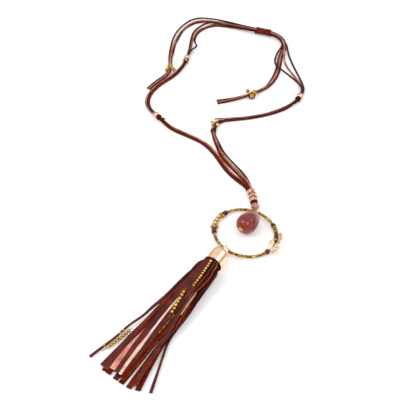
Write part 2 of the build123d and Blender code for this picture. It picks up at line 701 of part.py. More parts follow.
# Pin through the drop, bent up at its top to an eye round the hoop's wire
loop = hoop_point(drop_eye_angle)
drop_eye = Vector(loop.X, loop.Y, eye_height)
drop_way = drop_axis.normalized()
drop_route = [
    drop_place.from_local_coords(Vector(0, 0, -drop_radius - 1.0)),
    drop_place.from_local_coords(Vector(0, 0, drop_length + 1.0)),
    drop_eye + Vector(0, 0, eye_radius),
]
with BuildPart() as drop_pin:
    drop_path, _ = tube_path(drop_route)
    with BuildLine():
        add(drop_path)
    with BuildSketch(Plane(origin=drop_path @ 0, z_dir=drop_path % 0)):
        Circle(drop_pin_diameter / 2)
    sweep()
    add(wire_ring(eye_frame(drop_eye, drop_way), eye_radius, drop_pin_diameter))
write(drop_pin.part, "drop_pin")
flower_place = Plane(origin=drop_place.from_local_coords(Vector(0, 0, -drop_radius - 0.75)), z_dir=drop_way)
with BuildPart(flower_place) as flower:
    Sphere(0.8)
    with PolarLocations(0.95, 6):
        Sphere(0.62)
    Cylinder(drop_pin_diameter / 2 + 0.08, 4, mode=Mode.SUBTRACT)
write(flower.part, "drop_flower")

# Tassel cap: a thin polished cup with a rounded crown, and its bail round the hoop
cap_place = Plane(origin=Vector(*cap_rim), x_dir=tassel_right, z_dir=tassel_way)
cap_shoulder = 4.4
with BuildPart() as cap:
    with BuildSketch(Plane.XZ):
        with BuildLine():
            crown_edge = (cap_radius - cap_shoulder, -cap_length)
            wall_top = (cap_radius, -cap_length + cap_shoulder)
            Line((0, -cap_length), crown_edge)
            RadiusArc(crown_edge, wall_top, -cap_shoulder)
            Line(wall_top, (cap_radius, 0))
            Line((cap_radius, 0), (0, 0))
            Line((0, 0), (0, -cap_length))
        make_face()
    revolve(axis=Axis.Z)
    offset(amount=-cap_wall, openings=cap.faces().sort_by(Axis.Z)[-1])
    Cylinder(1.1, 4 * cap_length, mode=Mode.SUBTRACT)
write(cap_place.location * cap.part, "tassel_cap")

bail_angle = 231
bail_place = hoop_plane(bail_angle)
crown = tassel_spot(-cap_length, 0, cap_rim[2])
with BuildPart() as bail:
    with BuildSketch(bail_place):
        Circle(1.75)
        Circle(1.1, mode=Mode.SUBTRACT)
    extrude(amount=1.9, both=True)
    stalk_route = [
        bail_place.origin + Vector(0, 0, 1.45),
        bail_place.origin + Vector(0, 0, 4.6) + (crown - bail_place.origin) * 0.12,
        crown + tassel_way * 2.0,
    ]
    stalk_path, _ = tube_path(stalk_route)
    with BuildLine():
        add(stalk_path)
    with BuildSketch(Plane(origin=stalk_path @ 0, z_dir=stalk_path % 0)):
        Circle(0.8)
    sweep()
write(bail.part, "cap_bail")

# Tassel of cut strips, all fused to the packed middle and its head
write(tassel_skirt(), "tassel_skirt")

# Beaded threads on the tassel
# Along, across, height
upper_thread = [(1.5, 0.6, 13.2), (9.0, 1.0, 12.6), (17.0, 1.2, 11.8), (26.0, 0.8, 10.6)]
second_thread = [(28.0, -2.6, 9.8), (35.0, -2.0, 8.8), (42.0, -1.4, 7.6), (50.0, -1.0, 6.2)]
strand_thread = [(65.5, -17.6, 1.8), (72.0, -19.0, 1.5), (79.0, -20.6, 1.4), (88.0, -23.2, 1.4)]
# name, thread, bead diameter, how many
strings = [
    ("upper", upper_thread, 1.9, 11),
    ("second", second_thread, 2.4, 7),
    ("strand", strand_thread, 2.2, 8),
]
for name, rows, wide, count in strings:
    points = [tassel_spot(*row) for row in rows]
    write(joined(bead_row(points, wide, count, 0.15)), f"{name}_beads")
    write(thread_tube(points), f"{name}_thread")
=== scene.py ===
import bpy
import math
import numpy as np
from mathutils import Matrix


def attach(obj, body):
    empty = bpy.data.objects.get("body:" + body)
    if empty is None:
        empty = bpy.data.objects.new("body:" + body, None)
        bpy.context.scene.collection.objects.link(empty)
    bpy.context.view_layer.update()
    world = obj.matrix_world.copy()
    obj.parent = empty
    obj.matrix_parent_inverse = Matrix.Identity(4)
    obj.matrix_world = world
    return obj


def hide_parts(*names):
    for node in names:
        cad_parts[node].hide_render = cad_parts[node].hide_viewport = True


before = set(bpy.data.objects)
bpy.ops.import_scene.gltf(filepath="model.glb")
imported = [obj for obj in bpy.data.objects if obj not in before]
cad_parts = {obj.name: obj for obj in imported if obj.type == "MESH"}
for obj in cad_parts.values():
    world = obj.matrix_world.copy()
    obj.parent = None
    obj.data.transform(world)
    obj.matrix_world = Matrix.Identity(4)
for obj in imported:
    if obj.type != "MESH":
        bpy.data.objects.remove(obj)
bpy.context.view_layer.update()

# Tassel necklace, dressed for the render. Lengths in the tables are millimetres, +Y runs up the necklace.
mm = 0.001
up = np.array([0.0, 0.0, 1.0])


# Colour and node helpers

def hexColour(text):
    # sRGB hex to linear, with an alpha of one
    parts = np.array([int(text[i:i + 2], 16) / 255 for i in (1, 3, 5)])
    linear = np.where(parts <= 0.04045, parts / 12.92, ((parts + 0.055) / 1.055) ** 2.4)
    return (*linear.tolist(), 1.0)


def addNode(tree, kind, settings=None, links=None):
    # settings are sockets or properties of the node, links are sockets fed by another node's output
    node = tree.nodes.new(kind)
    for key, value in (settings or {}).items():
        if isinstance(key, int) or key in node.inputs:
            node.inputs[key].default_value = value
        else:
            setattr(node, key, value)
    for key, source in (links or {}).items():
        tree.links.new(source, node.inputs[key])
    return node


def newMaterial(name, settings):
    material = bpy.data.materials.new(name)
    material.use_nodes = True
    tree = material.node_tree
    tree.nodes.clear()
    shader = addNode(tree, "ShaderNodeBsdfPrincipled", settings)
    addNode(tree, "ShaderNodeOutputMaterial", None, {"Surface": shader.outputs["BSDF"]})
    spot = addNode(tree, "ShaderNodeTexCoord")
    return material, tree, shader, spot.outputs["Object"]


def colourRamp(tree, source, stops):
    # stops are (place, hex)
    ramp = addNode(tree, "ShaderNodeValToRGB", None, {"Fac": source})
    ramp.color_ramp.elements[0].position = stops[0][0]
    ramp.color_ramp.elements[0].color = hexColour(stops[0][1])
    ramp.color_ramp.elements[1].position = stops[-1][0]
    ramp.color_ramp.elements[1].color = hexColour(stops[-1][1])
    for place, text in stops[1:-1]:
        ramp.color_ramp.elements.new(place).color = hexColour(text)
    return ramp.outputs["Color"]


def noise(tree, place, scale, detail, settings=None):
    settings = {"Scale": scale, "Detail": detail, **(settings or {})}
    return addNode(tree, "ShaderNodeTexNoise", settings, {"Vector": place}).outputs["Fac"]


def paint(tree, shader, source, stops):
    tree.links.new(colourRamp(tree, source, stops), shader.inputs["Base Color"])


def roughnessFrom(tree, shader, source, low, high):
    spread = addNode(tree, "ShaderNodeMapRange", {"To Min": low, "To Max": high}, {"Value": source})
    tree.links.new(spread.outputs["Result"], shader.inputs["Roughness"])


def bumpFrom(tree, shader, source, depth, strength=1.0):
    # depth in millimetres
    bump = addNode(tree, "ShaderNodeBump", {"Strength": strength, "Distance": depth * mm}, {"Height": source})
    tree.links.new(bump.outputs["Normal"], shader.inputs["Normal"])


# Finishes

def calfLeather(name, stops):
    # Vegetable tanned calf with a polished grain side: soft gloss over fine pores and slow shade changes
    material, tree, shader, place = newMaterial(name, {"Specular IOR Level": 0.26})
    shade = noise(tree, place, 140.0, 4.0)
    pores = addNode(tree, "ShaderNodeTexVoronoi", {"Scale": 1500.0}, {"Vector": place})  # 0.7 mm, coarser than real
    paint(tree, shader, shade, stops)
    roughnessFrom(tree, shader, shade, 0.42, 0.62)
    bumpFrom(tree, shader, pores.outputs["Distance"], 0.05, 0.5)
    return material


def splitSuede(name, stops):
    # Brushed flesh side of the same hide: matt, with a warm nap that lightens at its edges
    material, tree, shader, place = newMaterial(
        name, {"Roughness": 0.9, "Specular IOR Level": 0.04, "Sheen Weight": 0.04, "Sheen Roughness": 0.4,
               "Sheen Tint": hexColour("#c8602c")}
    )
    nap = noise(tree, place, 900.0, 6.0, {"Roughness": 0.7})
    patches = addNode(tree, "ShaderNodeMath", {"operation": "MULTIPLY", 1: 0.45}, {0: noise(tree, place, 110.0, 3.0)})
    mixed = addNode(tree, "ShaderNodeMath", {"operation": "MULTIPLY_ADD", 1: 0.55},
                    {0: nap, 2: patches.outputs["Value"]})
    paint(tree, shader, mixed.outputs["Value"], stops)
    bumpFrom(tree, shader, nap, 0.12, 0.7)
    return material


def rawEdge(name, stops):
    # Knife cut edge of the hide: pale tan fibres in layers
    material, tree, shader, place = newMaterial(name, {"Roughness": 0.75, "Specular IOR Level": 0.1})
    fibres = noise(tree, place, 700.0, 5.0)
    paint(tree, shader, fibres, stops)
    bumpFrom(tree, shader, fibres, 0.06, 0.6)
    return material


def pressedFoil(name, stops, metallic, roughness):
    # Metallic foil pressed on leather: a bright film, finely creased, that thins to the hide in places
    material, tree, shader, place = newMaterial(name, {"Metallic": metallic})
    creases = noise(tree, place, 620.0, 5.0, {"Roughness": 0.6})
    paint(tree, shader, noise(tree, place, 170.0, 3.0), stops)
    roughnessFrom(tree, shader, creases, *roughness)
    bumpFrom(tree, shader, creases, 0.05, 0.5)
    return material


def polishedPlate(name, stops, roughness, relief=0.02, scale=420.0):
    # Electroplated and buffed metal: near mirror, with faint clouding and handling marks
    material, tree, shader, place = newMaterial(name, {"Metallic": 1.0})
    cloud = noise(tree, place, scale, 3.0)
    paint(tree, shader, cloud, stops)
    roughnessFrom(tree, shader, cloud, *roughness)
    bumpFrom(tree, shader, cloud, relief, 0.4)
    return material


def hammeredBrass(name, stops):
    # Planished brass tube: darker in its hollows, partly patina and partly painted shade, and lighter on its ridges,
    # partly rubbed bright and partly a painted highlight
    material, tree, shader, place = newMaterial(name, {"Metallic": 1.0})
    dents = addNode(tree, "ShaderNodeTexVoronoi", {"Scale": 620.0}, {"Vector": place})  # 1.6 mm hammer marks
    grime = noise(tree, place, 380.0, 4.0)
    mixed = addNode(tree, "ShaderNodeMath", {"operation": "MULTIPLY_ADD", 1: 0.5},
                    {0: dents.outputs["Distance"], 2: grime})
    # the colour follows the hammer marks: dark in their hollows as patina and painted shade, light on their ridges as
    # wear and a painted highlight
    paint(tree, shader, mixed.outputs["Value"], stops)
    roughnessFrom(tree, shader, grime, 0.18, 0.42)
    bumpFrom(tree, shader, dents.outputs["Distance"], 0.12, 0.6)
    return material


def firedGlass(name, stops, roughness, coat):
    # Pressed opaque glass, fire polished: clear gloss over slow colour streaks
    material, tree, shader, place = newMaterial(
        name, {"Roughness": roughness, "Specular IOR Level": 0.35, "Coat Weight": coat, "Coat Roughness": 0.06}
    )
    streaks = noise(tree, place, 260.0, 2.0, {"Distortion": 1.2})
    paint(tree, shader, streaks, stops)
    bumpFrom(tree, shader, streaks, 0.02, 0.3)
    return material


def veinedStone(name):
    # Tumbled and polished dusty red stone: paler veils, thin dark veins, wet looking gloss
    material, tree, shader, place = newMaterial(
        name, {"Roughness": 0.24, "Specular IOR Level": 0.4, "Coat Weight": 0.3, "Coat Roughness": 0.05}
    )
    seams = noise(tree, place, 190.0, 3.0, {"Distortion": 2.5})
    body = colourRamp(tree, noise(tree, place, 120.0, 5.0, {"Distortion": 1.6}), [
        (0.25, "#5a1310"), (0.45, "#7e221b"), (0.58, "#983128"), (0.78, "#b5564a")
    ])
    offMiddle = addNode(tree, "ShaderNodeMath", {"operation": "SUBTRACT", 1: 0.5}, {0: seams})
    line = addNode(tree, "ShaderNodeMath", {"operation": "ABSOLUTE"}, {0: offMiddle.outputs["Value"]})
    thin = addNode(tree, "ShaderNodeMapRange", {"From Min": 0.0, "From Max": 0.022, "To Min": 0.45, "To Max": 0.0},
                   {"Value": line.outputs["Value"]})
    mixed = addNode(tree, "ShaderNodeMix", {"data_type": "RGBA"})
    tree.links.new(thin.outputs["Result"], mixed.inputs["Factor"])
    tree.links.new(body, mixed.inputs[6])
    mixed.inputs[7].default_value = hexColour("#460e0a")
    tree.links.new(mixed.outputs[2], shader.inputs["Base Color"])
    return material


def nacre(name):
    # Freshwater pearl: creamy body, soft gloss, a little light let in, and tan painted shade in its creases
    material, tree, shader, place = newMaterial(name, {
        "Roughness": 0.24, "Coat Weight": 0.7, "Coat Roughness": 0.12,
        "Subsurface Weight": 0.12, "Subsurface Scale": 0.0012,
    })
    growth = noise(tree, place, 420.0, 3.0)
    # the low spots of the relief turn tan: painted shade in the creases
    paint(tree, shader, growth, [(0.32, "#96663c"), (0.42, "#dcbd92"), (0.52, "#f5e6cd"), (0.75, "#fbf3e4")])
    bumpFrom(tree, shader, growth, 0.3, 0.7)
    return material


def cutCrystal(name):
    # Clear cut glass set over foil: glitter from its facets
    material, tree, shader, place = newMaterial(name, {
        "Roughness": 0.02, "IOR": 1.54, "Transmission Weight": 0.75, "Base Color": hexColour("#fbf6ea"),
    })
    roughnessFrom(tree, shader, noise(tree, place, 300.0, 1.0), 0.01, 0.05)
    return material


def waxedCord(name, stops):
    # Waxed plaited cord wound tight: fibres show as short slanting ridges
    material, tree, shader, place = newMaterial(
        name, {"Roughness": 0.62, "Specular IOR Level": 0.15, "Sheen Weight": 0.03}
    )
    ply = addNode(tree, "ShaderNodeTexWave", {"Scale": 520.0, "Distortion": 2.0, "Detail": 2.0,
                                              "bands_direction": "DIAGONAL"}, {"Vector": place})
    paint(tree, shader, noise(tree, place, 500.0, 4.0), stops)
    bumpFrom(tree, shader, ply.outputs["Fac"], 0.1, 0.6)
    return material


# Places of the shades on a ramp of noise: most finishes, plated metal, a ramp of four and the brass
usual, plated, fourfold, planished = (0.3, 0.5, 0.75), (0.3, 0.55, 0.8), (0.3, 0.46, 0.6, 0.8), (0.4, 0.62, 0.82, 1.05)


def shades(*colours, places=usual):
    # Ramp stops for a finish, from its darkest colour to its lightest
    return list(zip(places, colours))


burgundyCalf = calfLeather(
    "burgundy calf leather, polished",
    shades("#360b0a", "#4e120f", "#601b16", "#742a24", places=(0.3, 0.45, 0.6, 0.8))
)
darkCalf = calfLeather("dark burgundy calf lace", shades("#230405", "#3a0a0b", "#561614"))
# Near-black suede for the tassel's packed middle: painted shade that shows in the gaps between the strips
shadowSuede = splitSuede("suede inside the tassel, painted near black as shade", shades("#0c0202", "#1c0503", "#2e0a04"))
russetSuede = splitSuede(
    "russet split suede", shades("#360802", "#5c1204", "#762007", "#963c0e", places=fourfold)
)
tanEdge = rawEdge("raw cut leather edge", shades("#5e2810", "#985624", "#c68a48"))
darkEdge = rawEdge("stained leather edge", shades("#250703", "#451207", "#6a2810"))
# Near-black edges for the tassel strips: partly a burnished edge, partly painted shade in the slits between the strips
burnishAndShadeEdge = rawEdge("tassel strip edge, burnished and painted dark as shade", shades("#120302", "#240704", "#3e140a"))
roseLaceFoil = pressedFoil(
    "rose pearl leather lace", shades("#7a3e28", "#a8684c", "#d49c80"), 0.3, (0.36, 0.55)
)
blushFoil = pressedFoil(
    "blush metallic foil on leather", shades("#b56a58", "#d58c7a", "#f0b8a8"), 0.5, (0.3, 0.5)
)
brightFoil = pressedFoil(
    "pale rose foil on leather", shades("#d8a594", "#f2cbba", "#fde6da"), 0.4, (0.25, 0.45)
)
rosePlate = polishedPlate(
    "rose gold plate, polished", shades("#cc8e72", "#edbba2", "#f8d5c4", places=plated), (0.08, 0.18)
)
peachPlate = polishedPlate(
    "peach rose gold cap, buffed", shades("#f7cba8", "#fcd8b8", "#fee2c8", places=plated), (0.08, 0.17),
    relief=0.01, scale=160.0
)
yellowGold = polishedPlate("yellow gold plate, polished", shades("#9c6e1e", "#d0a244", "#f2d688"), (0.1, 0.24))
# Brass colours run from patina and painted shade in the hollows to wear and a painted highlight on the ridges
brassPatinaAndShade = hammeredBrass(
    "planished brass, patina and painted shade in its hollows", shades("#342006", "#785214", "#b48a34", "#eacb80", places=planished)
)
burgundyGlass = firedGlass("burgundy pressed glass", shades("#320304", "#5a0a0c", "#801c1c"), 0.18, 0.3)
pinkGlass = firedGlass("dusty pink glass, fire polished", shades("#92503c", "#b4725c", "#c99080"), 0.24, 0.4)
dropStone = veinedStone("dusty red veined stone, polished")
pearlNacre = nacre("freshwater pearl nacre")
crystal = cutCrystal("clear cut crystal")
russetCord = waxedCord("russet waxed cord", shades("#320702", "#641a0a", "#8c3416"))
goldThread = waxedCord("gold metallic thread", shades("#5a3a0a", "#94691f", "#cda24a"))
print("finishes made")


# Surface helpers: every shape is a grid of points, worked out as whole arrays

def gridQuads(rows, columns, closeRows=False, closeColumns=True):
    # Quads between neighbouring grid points, wrapped round where a direction is closed
    i = np.arange(rows if closeRows else rows - 1)[:, None]
    j = np.arange(columns if closeColumns else columns - 1)[None, :]
    a, b = i * columns, (i + 1) % rows * columns
    k, l = j + 0 * i, (j + 1) % columns + 0 * i
    return np.stack([a + k, a + l, b + l, b + k], axis=-1).reshape(-1, 4)


def finishPiece(name, points, faces, materials, slotName, faceSlots=None, smooth=True, nodes=()):
    # points in millimetres; a piece always rides on the one body
    mesh = bpy.data.meshes.new(name)
    mesh.from_pydata((np.asarray(points).reshape(-1, 3) * mm).tolist(), [], [list(f) for f in faces])
    for material in materials:
        mesh.materials.append(material)
    if faceSlots is not None:
        mesh.polygons.foreach_set("material_index", np.asarray(faceSlots, dtype=np.int32))
    mesh.polygons.foreach_set("use_smooth", np.full(len(mesh.polygons), smooth))
    mesh.update()
    piece = bpy.data.objects.new(name, mesh)
    bpy.context.scene.collection.objects.link(piece)
    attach(piece, "root")
    if nodes:
        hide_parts(*nodes)
    return piece


def unit(v):
    return v / np.maximum(np.linalg.norm(v, axis=-1, keepdims=True), 1e-12)


def pathFrames(path, above=up, turn=0.0, closed=False):
    # Side, normal and way at each point: normal leans to the given upward way, then both turn about the way
    if closed:
        way = unit(np.roll(path, -1, axis=0) - np.roll(path, 1, axis=0))
    else:
        way = unit(np.gradient(path, axis=0))
    side = unit(np.cross(np.broadcast_to(above, way.shape), way))
    normal = np.cross(way, side)
    turn = np.radians(np.broadcast_to(turn, len(path)))[:, None]
    return side * np.cos(turn) + normal * np.sin(turn), normal * np.cos(turn) - side * np.sin(turn), way


def sweep(path, sections, above=up, turn=0.0, closed=False):
    # A section (rows or one row of side, normal pairs) carried along a path; open ends are capped
    path = np.asarray(path, dtype=float)
    side, normal, _ = pathFrames(path, above, turn, closed)
    sections = np.broadcast_to(sections, (len(path),) + np.shape(sections)[-2:])
    points = path[:, None] + side[:, None] * sections[..., :1] + normal[:, None] * sections[..., 1:]
    rows, columns = sections.shape[:2]
    faces = gridQuads(rows, columns, closeRows=closed).tolist()
    if not closed:
        faces.append(list(range(columns))[::-1])
        faces.append(list(range((rows - 1) * columns, rows * columns)))
    return points.reshape(-1, 3), faces


def roundSection(wide, high, count):
    # An ellipse: wide along the side, high along the normal, as half sizes
    angle = np.arange(count) / count * 2 * np.pi
    return np.stack([np.multiply.outer(wide, np.cos(angle)), np.multiply.outer(high, np.sin(angle))], axis=-1)


def strapSection(wide, thick, count=16, cup=0.0, square=5.0):
    # A rounded rectangle, as a superellipse of full sizes wide and thick, cupped by a parabola
    angle = (np.arange(count) + 0.5) / count * 2 * np.pi
    x = np.sign(np.cos(angle)) * np.abs(np.cos(angle)) ** (2 / square)
    y = np.sign(np.sin(angle)) * np.abs(np.sin(angle)) ** (2 / square)
    wide, thick, cup = (np.reshape(v, (-1, 1)) for v in np.broadcast_arrays(wide, thick, cup))
    return np.stack([x * wide / 2, y * thick / 2 + cup * (x ** 2 - 0.5)], axis=-1)


def strapSlots(rows, count=16):
    # Which finish each face of a strap takes: 0 upper face, 1 underside, 2 cut edges and ends
    angle = np.degrees((np.arange(count) + 1.0) / count * 2 * np.pi) % 360
    flat = np.where((angle > 35) & (angle < 145), 0, np.where((angle > 215) & (angle < 325), 1, 2))
    return np.concatenate([np.tile(flat, rows - 1), [2, 2]])


def smoothRows(rows, count):
    # Rows of numbers joined by a Catmull-Rom curve: a cubic through each row, level with its neighbours
    rows = np.asarray(rows, dtype=float)
    share = np.linspace(0, len(rows) - 1, count)
    i = np.minimum(share.astype(int), len(rows) - 2)
    f = (share - i)[:, None]
    ext = np.concatenate([[2 * rows[0] - rows[1]], rows, [2 * rows[-1] - rows[-2]]])
    a, b, c, d = ext[i], ext[i + 1], ext[i + 2], ext[i + 3]
    return 0.5 * (2 * b + (c - a) * f + (2 * a - 5 * b + 4 * c - d) * f ** 2 + (3 * b - a - 3 * c + d) * f ** 3)


def joinShapes(shapes):
    # Several point and face sets put together as one
    points, faces, start = [], [], 0
    for spots, polygons in shapes:
        points.append(spots)
        faces += [[corner + start for corner in polygon] for polygon in polygons]
        start += len(spots)
    return np.concatenate(points), faces


def ball(rows=10, columns=14):
    # A unit ball: rings of latitude, with a small cap at each pole
    height = np.linspace(-np.pi / 2 + 0.16, np.pi / 2 - 0.16, rows)
    angle = np.arange(columns) / columns * 2 * np.pi
    points = np.stack([np.outer(np.cos(height), np.cos(angle)), np.outer(np.cos(height), np.sin(angle)),
                       np.outer(np.sin(height), np.ones(columns))], axis=-1).reshape(-1, 3)
    faces = gridQuads(rows, columns).tolist()
    return points, faces + [list(range(columns))[::-1], list(range((rows - 1) * columns, rows * columns))]


def ringShape(radius, wire, rows=20, columns=8):
    # A torus in the XY plane
    angle = np.arange(rows) / rows * 2 * np.pi
    path = np.stack([np.cos(angle) * radius, np.sin(angle) * radius, 0 * angle], axis=-1)
    return sweep(path, roundSection(wire, wire, columns), closed=True)


def placed(shape, centre, size=1.0, axis=None, lean=None):
    # A shape scaled and set at a centre, its Z turned to an axis and its X towards a second way
    points, faces = shape
    points = points * size
    if axis is not None:
        z = unit(np.asarray(axis, dtype=float))
        hint = np.asarray(lean if lean is not None else (up if abs(z[2]) < 0.9 else (1.0, 0, 0)), dtype=float)
        y = unit(np.cross(z, hint))
        x = np.cross(y, z)
        points = points[:, :1] * x + points[:, 1:2] * y + points[:, 2:] * z
    return points + np.asarray(centre, dtype=float), faces


def turned(profile, columns, wobble=0.0):
    # A profile of (radius, height) spun about Z; the profile is closed, or ends near the axis and is capped
    profile = np.asarray(profile, dtype=float)
    angle = np.arange(columns) / columns * 2 * np.pi
    radius = profile[:, :1] * (1 + wobble)
    return np.stack([radius * np.cos(angle), radius * np.sin(angle), profile[:, 1:] + 0 * angle], axis=-1)


# Camera, at the photograph's place and angle, with the necklace lying below it
view = {"place": (-24.45, -435.27, 475.77), "tilt": 44.0, "field": 24.0}
lens = bpy.data.cameras.new("camera")
lens.angle = math.radians(view["field"])
lens.clip_start, lens.clip_end = 0.01, 30.0
camera = bpy.data.objects.new("camera", lens)
camera.location = [v * mm for v in view["place"]]
camera.rotation_euler = (math.radians(view["tilt"]), 0.0, 0.0)
bpy.context.scene.collection.objects.link(camera)
bpy.context.scene.camera = camera
print("camera placed")


# Laces: the routes of the CAD tubes, as control points of one smooth spline each
# lean and roll: degrees of slow and quick turning, with the run in mm that a sine's radian takes
lace = {"width": 1.5, "thickness": 0.7, "lean": 14.0, "leanRun": 23.0, "roll": 7.0, "rollRun": 9.5, "shift": 1.9,
        "clear": 0.03}
# x, y, dark side, dark height, rose side, rose height, russet side, russet height
leftCourse = [
    (6.6, 27.2, 1.1, 3.25, 0.0, 2.15, 1.1, 2.15),
    (4.2, 41.0, 1.1, 3.25, 0.0, 2.15, 1.1, 2.15),
    (-3.2, 50.1, 0.1, 1.6, -1.2, 0.5, 1.3, 0.5),
    (-10.3, 58.8, 0.0, 0.5, -1.15, 0.5, 1.15, 0.5),
    (-15.0, 68.3, 0.0, 0.5, -1.15, 0.5, 1.15, 0.5),
    (-20.0, 78.8, 0.0, 0.5, -1.15, 0.5, 1.15, 0.5),
    (-27.5, 89.3, 0.0, 0.5, -1.2, 0.5, 1.15, 0.5),
    (-40.5, 97.8, 0.0, 0.5, -1.3, 0.5, 1.2, 0.5),
    (-51.0, 104.3, 0.0, 0.5, -1.3, 0.5, 1.25, 0.5),
    (-58.3, 112.1, 0.0, 2.9, -0.65, 1.95, 0.65, 1.95),
    (-67.5, 123.8, 0.0, 2.9, -0.65, 1.95, 0.65, 1.95),
    (-70.8, 134.8, 0.0, 0.5, -1.25, 0.5, 1.25, 0.5),
    (-68.3, 146.3, 0.0, 0.5, -1.2, 0.5, 1.2, 0.5),
    (-60.5, 157.3, 0.0, 0.5, -1.2, 0.5, 1.2, 0.5),
    (-50.5, 166.8, 0.0, 0.5, -1.25, 0.5, 1.25, 0.5),
    (-42.6, 179.3, 0.0, 2.9, -0.65, 1.95, 0.65, 1.95),
    (-39.2, 195.1, 0.0, 3.0, -0.65, 1.95, 0.65, 1.95),
    (-38.5, 203.3, -6.0, 1.9, -0.6, 0.5, 0.6, 0.5),
    (-37.3, 211.8, -1.3, 0.5, 0.0, 0.5, 1.2, 0.5),
    (-33.8, 224.8, -1.4, 0.5, 0.2, 0.5, 2.5, 0.5),
    (-21.5, 234.8, -2.0, 0.5, 0.0, 0.5, 4.2, 0.5),
    (-8.0, 233.4, -2.6, 0.5, 0.0, 0.5, 2.6, 0.5),
    (7.0, 225.7, -1.1, 2.37, 0.0, 2.37, 1.1, 2.37),
    (32.6, 216.9, -1.1, 2.37, 0.0, 2.37, 1.1, 2.37),
    (37.9, 205.0, -1.1, 0.5, 0.0, 0.5, 1.1, 0.5),
    (33.0, 191.3, -1.2, 0.5, 0.0, 0.5, 1.2, 0.5),
    (31.0, 176.8, -1.3, 0.5, 0.0, 0.5, 1.4, 0.5),
    (27.0, 162.8, -1.6, 0.5, 0.0, 0.5, 1.8, 0.5),
    (19.4, 148.6, -0.65, 1.8, 0.0, 2.75, 0.65, 1.8),
    (2.4, 139.5, -0.65, 1.8, 0.0, 2.75, 0.65, 1.8),
    (-8.0, 136.8, -1.35, 0.5, 0.0, 0.5, 1.3, 0.5),
    (-17.5, 134.6, -2.0, 0.5, -0.3, 0.5, 1.6, 0.5),
]
rightCourse = [
    (6.6, 27.2, -1.1, 2.15, -1.1, 3.25, 0.0, 3.25),
    (4.1, 41.4, -1.1, 2.15, -1.1, 3.25, 0.0, 3.25),
    (-1.5, 53.3, -3.8, 0.5, -1.9, 0.95, 0.0, 0.5),
    (-10.0, 65.4, -4.2, 0.5, -1.8, 0.5, 0.0, 0.5),
    (-16.2, 76.8, -3.4, 0.5, -1.4, 0.5, 0.0, 0.5),
    (-19.3, 88.8, -2.6, 0.5, -1.35, 0.5, 0.0, 0.5),
    (-20.5, 96.8, -0.65, 1.6, 0.0, 2.55, 0.65, 1.6),
    (-20.3, 104.0, -0.8, 1.6, 0.4, 2.65, 0.65, 1.35),
    (-18.7, 111.6, -2.8, 1.7, 2.6, 2.5, 0.1, 0.5),
    (-11.0, 114.4, -1.3, 0.5, 1.4, 0.5, 0.0, 0.5),
    (3.0, 116.0, -1.15, 0.5, 1.15, 0.5, 0.0, 0.5),
    (16.5, 119.3, -1.15, 0.5, 1.15, 0.5, 0.0, 0.5),
    (29.5, 124.8, -1.25, 0.5, 1.25, 0.5, 0.0, 0.5),
    (41.8, 132.6, -0.65, 2.15, 0.65, 2.15, 0.0, 3.1),
    (48.4, 146.3, -0.65, 2.15, 0.65, 2.15, 0.0, 3.1),
    (46.2, 157.8, -1.8, 0.5, -0.3, 0.5, 2.4, 2.2),
    (40.8, 169.3, -4.1, 0.5, 0.0, 0.5, 5.3, 2.8),
    (36.0, 180.8, -5.7, 0.5, 0.0, 0.5, 8.8, 1.8),
    (35.8, 193.8, -3.6, 1.0, 0.0, 1.65, 5.6, 1.2),
    (37.6, 205.0, -1.1, 1.75, 0.0, 1.75, 1.1, 1.75),
    (32.6, 216.9, -1.1, 3.47, 0.0, 3.47, 1.1, 3.47),
    (7.0, 225.7, -1.1, 3.47, 0.0, 3.47, 1.1, 3.47),
    (-8.0, 233.4, -2.6, 1.65, 0.0, 1.65, 2.6, 1.65),
    (-21.5, 237.1, -3.0, 2.1, 0.0, 2.1, 1.6, 2.1),
    (-35.0, 240.1, -2.8, 0.9, 1.4, 0.9, 2.9, 0.9),
    (-45.3, 230.1, -1.9, 0.5, 1.1, 0.5, 2.4, 0.5),
    (-50.6, 216.8, -2.0, 0.5, 1.1, 0.5, 2.3, 0.5),
    (-53.0, 202.8, -1.4, 0.5, 0.4, 0.5, 1.6, 0.5),
    (-54.0, 190.8, -1.25, 0.5, 0.0, 0.5, 1.25, 0.5),
    (-54.2, 181.8, -0.65, 1.95, 0.0, 2.9, 0.65, 1.95),
    (-53.8, 170.3, -0.65, 1.95, 0.0, 2.9, 0.65, 1.95),
    (-58.2, 165.0, -1.3, 0.5, 0.0, 0.5, 1.3, 0.5),
    (-64.8, 158.2, -1.1, 0.5, 0.0, 0.5, 1.1, 0.5),
    (-70.0, 150.3, -1.1, 0.5, 0.0, 0.5, 1.1, 0.5),
]


def laceRoute(course, column):
    # Each course point moved to the left of the way it runs, mitred so that straight runs stay parallel
    rows = np.array(course)
    way = unit(np.diff(rows[:, :2], axis=0))
    left = np.stack([-way[:, 1], way[:, 0]], axis=-1)
    mitre = (left[:-1] + left[1:]) / (1 + (left[:-1] * left[1:]).sum(axis=1, keepdims=True))
    left = np.concatenate([left[:1], mitre, left[-1:]])
    return np.column_stack([rows[:, :2] + left * rows[:, column:column + 1], rows[:, column + 1]])


def splinePath(name, route):
    # The spline's own points, read from a bare curve; route and path in millimetres
    data = bpy.data.curves.new(name, "CURVE")
    data.dimensions = "3D"
    data.resolution_u = 12
    spline = data.splines.new("NURBS")
    spline.points.add(len(route) - 1)
    spline.points.foreach_set("co", np.column_stack([route * mm, np.ones(len(route))]).ravel())
    spline.order_u = 3
    spline.use_endpoint_u = True
    holder = bpy.data.objects.new(name, data)
    mesh = bpy.data.meshes.new_from_object(holder)
    spots = np.empty(len(mesh.vertices) * 3)
    mesh.vertices.foreach_get("co", spots)
    bpy.data.objects.remove(holder)
    bpy.data.curves.remove(data)
    bpy.data.meshes.remove(mesh)
    return spots.reshape(-1, 3) / mm


